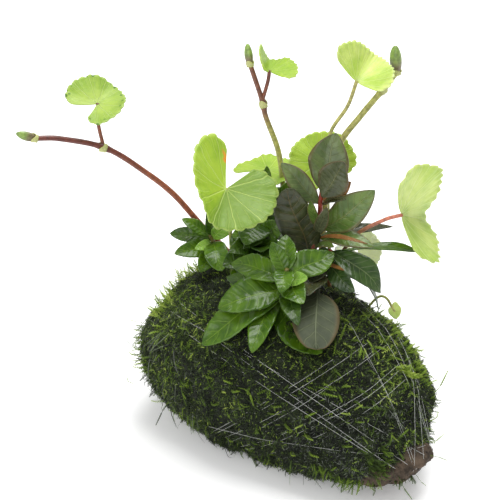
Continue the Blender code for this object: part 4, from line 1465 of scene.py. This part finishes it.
# each turn is taut: two dots of the picture that it is seen to pass through
lineTurns = [
    ((297, 383), (323, 366)), ((300, 388), (342, 361)), ((327, 386), (360, 364)), ((298, 407), (318, 394)),
    ((336, 415), (390, 378)), ((370, 408), (388, 394)), ((353, 330), (387, 395)), ((387, 395), (400, 426)),
    ((368, 320), (402, 372)), ((382, 326), (407, 372)), ((398, 340), (415, 378)), ((412, 380), (414, 440)),
    ((418, 395), (419, 435)), ((272, 370), (336, 415)), ((282, 398), (296, 407)), ((340, 430), (375, 455)),
    ((234, 431), (265, 439)), ((182, 318), (206, 332)), ((330, 412), (370, 388)),
]


def tautLoop(tree, start, end):
    # the outline of the moss in the turn's plane, drawn taut over its hollows
    chord = end - start
    aroundHeart = chord.cross(heart - start).normalized()
    inSight = chord.cross(cameraPlace - start).normalized()
    if aroundHeart.dot(inSight) < 0:
        inSight.negate()
    square = aroundHeart.lerp(inSight, linePlan["straight"]).normalized()
    centre = heart - square * (heart - start).dot(square)
    a = (start - centre).normalized()
    b = (chord - a * chord.dot(a)).normalized()
    endAngle = math.atan2((end - centre).dot(b), (end - centre).dot(a))
    flat = []
    for step in range(linePlan["points"]):
        angle = 2 * math.pi * step / linePlan["points"]
        ray = a * math.cos(angle) + b * math.sin(angle)
        hit = tree.ray_cast(centre + ray * 0.15, -ray)[0]
        if hit:
            past = max(-angleApart(angle, 0), angleApart(angle, endAngle), 0) / math.radians(6)
            lift = linePlan["hidden"] + (linePlan["shown"] - linePlan["hidden"]) * smoothStep(1, 0, past)
            reach = (hit - centre).length + lift
            flat.append((reach * math.cos(angle), reach * math.sin(angle)))
    ring = [centre + a * x + b * y for x, y in hull(flat)]
    return [Vector((place.x, place.y, max(place.z, linePlan["lowest"]))) for place in ring]


def angleApart(angle, other):
    # from other to angle, between minus and plus half a turn
    return (angle - other + math.pi) % (2 * math.pi) - math.pi


def hull(flat):
    # the convex outline of points in a plane, in order
    flat = sorted(set(flat))

    def half(run):
        kept = []
        for point in run:
            while len(kept) > 1:
                (ax, ay), (bx, by) = kept[-2], kept[-1]
                if (bx - ax) * (point[1] - ay) - (by - ay) * (point[0] - ax) > 0:
                    break
                kept.pop()
            kept.append(point)
        return kept[:-1]

    return half(flat) + half(flat[::-1])


def windLine(ground):
    pieces = []
    for first, second in lineTurns:
        loop = tautLoop(ground.tree, ground.inPicture(*first)[0], ground.inPicture(*second)[0])
        pieces.append(drawCurve(loop, [linePlan["radius"]] * len(loop), 1, closed=True))
    clear = newFinish("clearLine", 0.2, (0.66, 0.67, 0.65))
    finishPiece(joinParts(pieces), "bindingLine", [clear], ["binding_line"])
    print("line wound:", len(lineTurns), "turns")


windLine(mossGround)

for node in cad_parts.values():
    if not node.hide_render:
        print("still bare:", node.name)
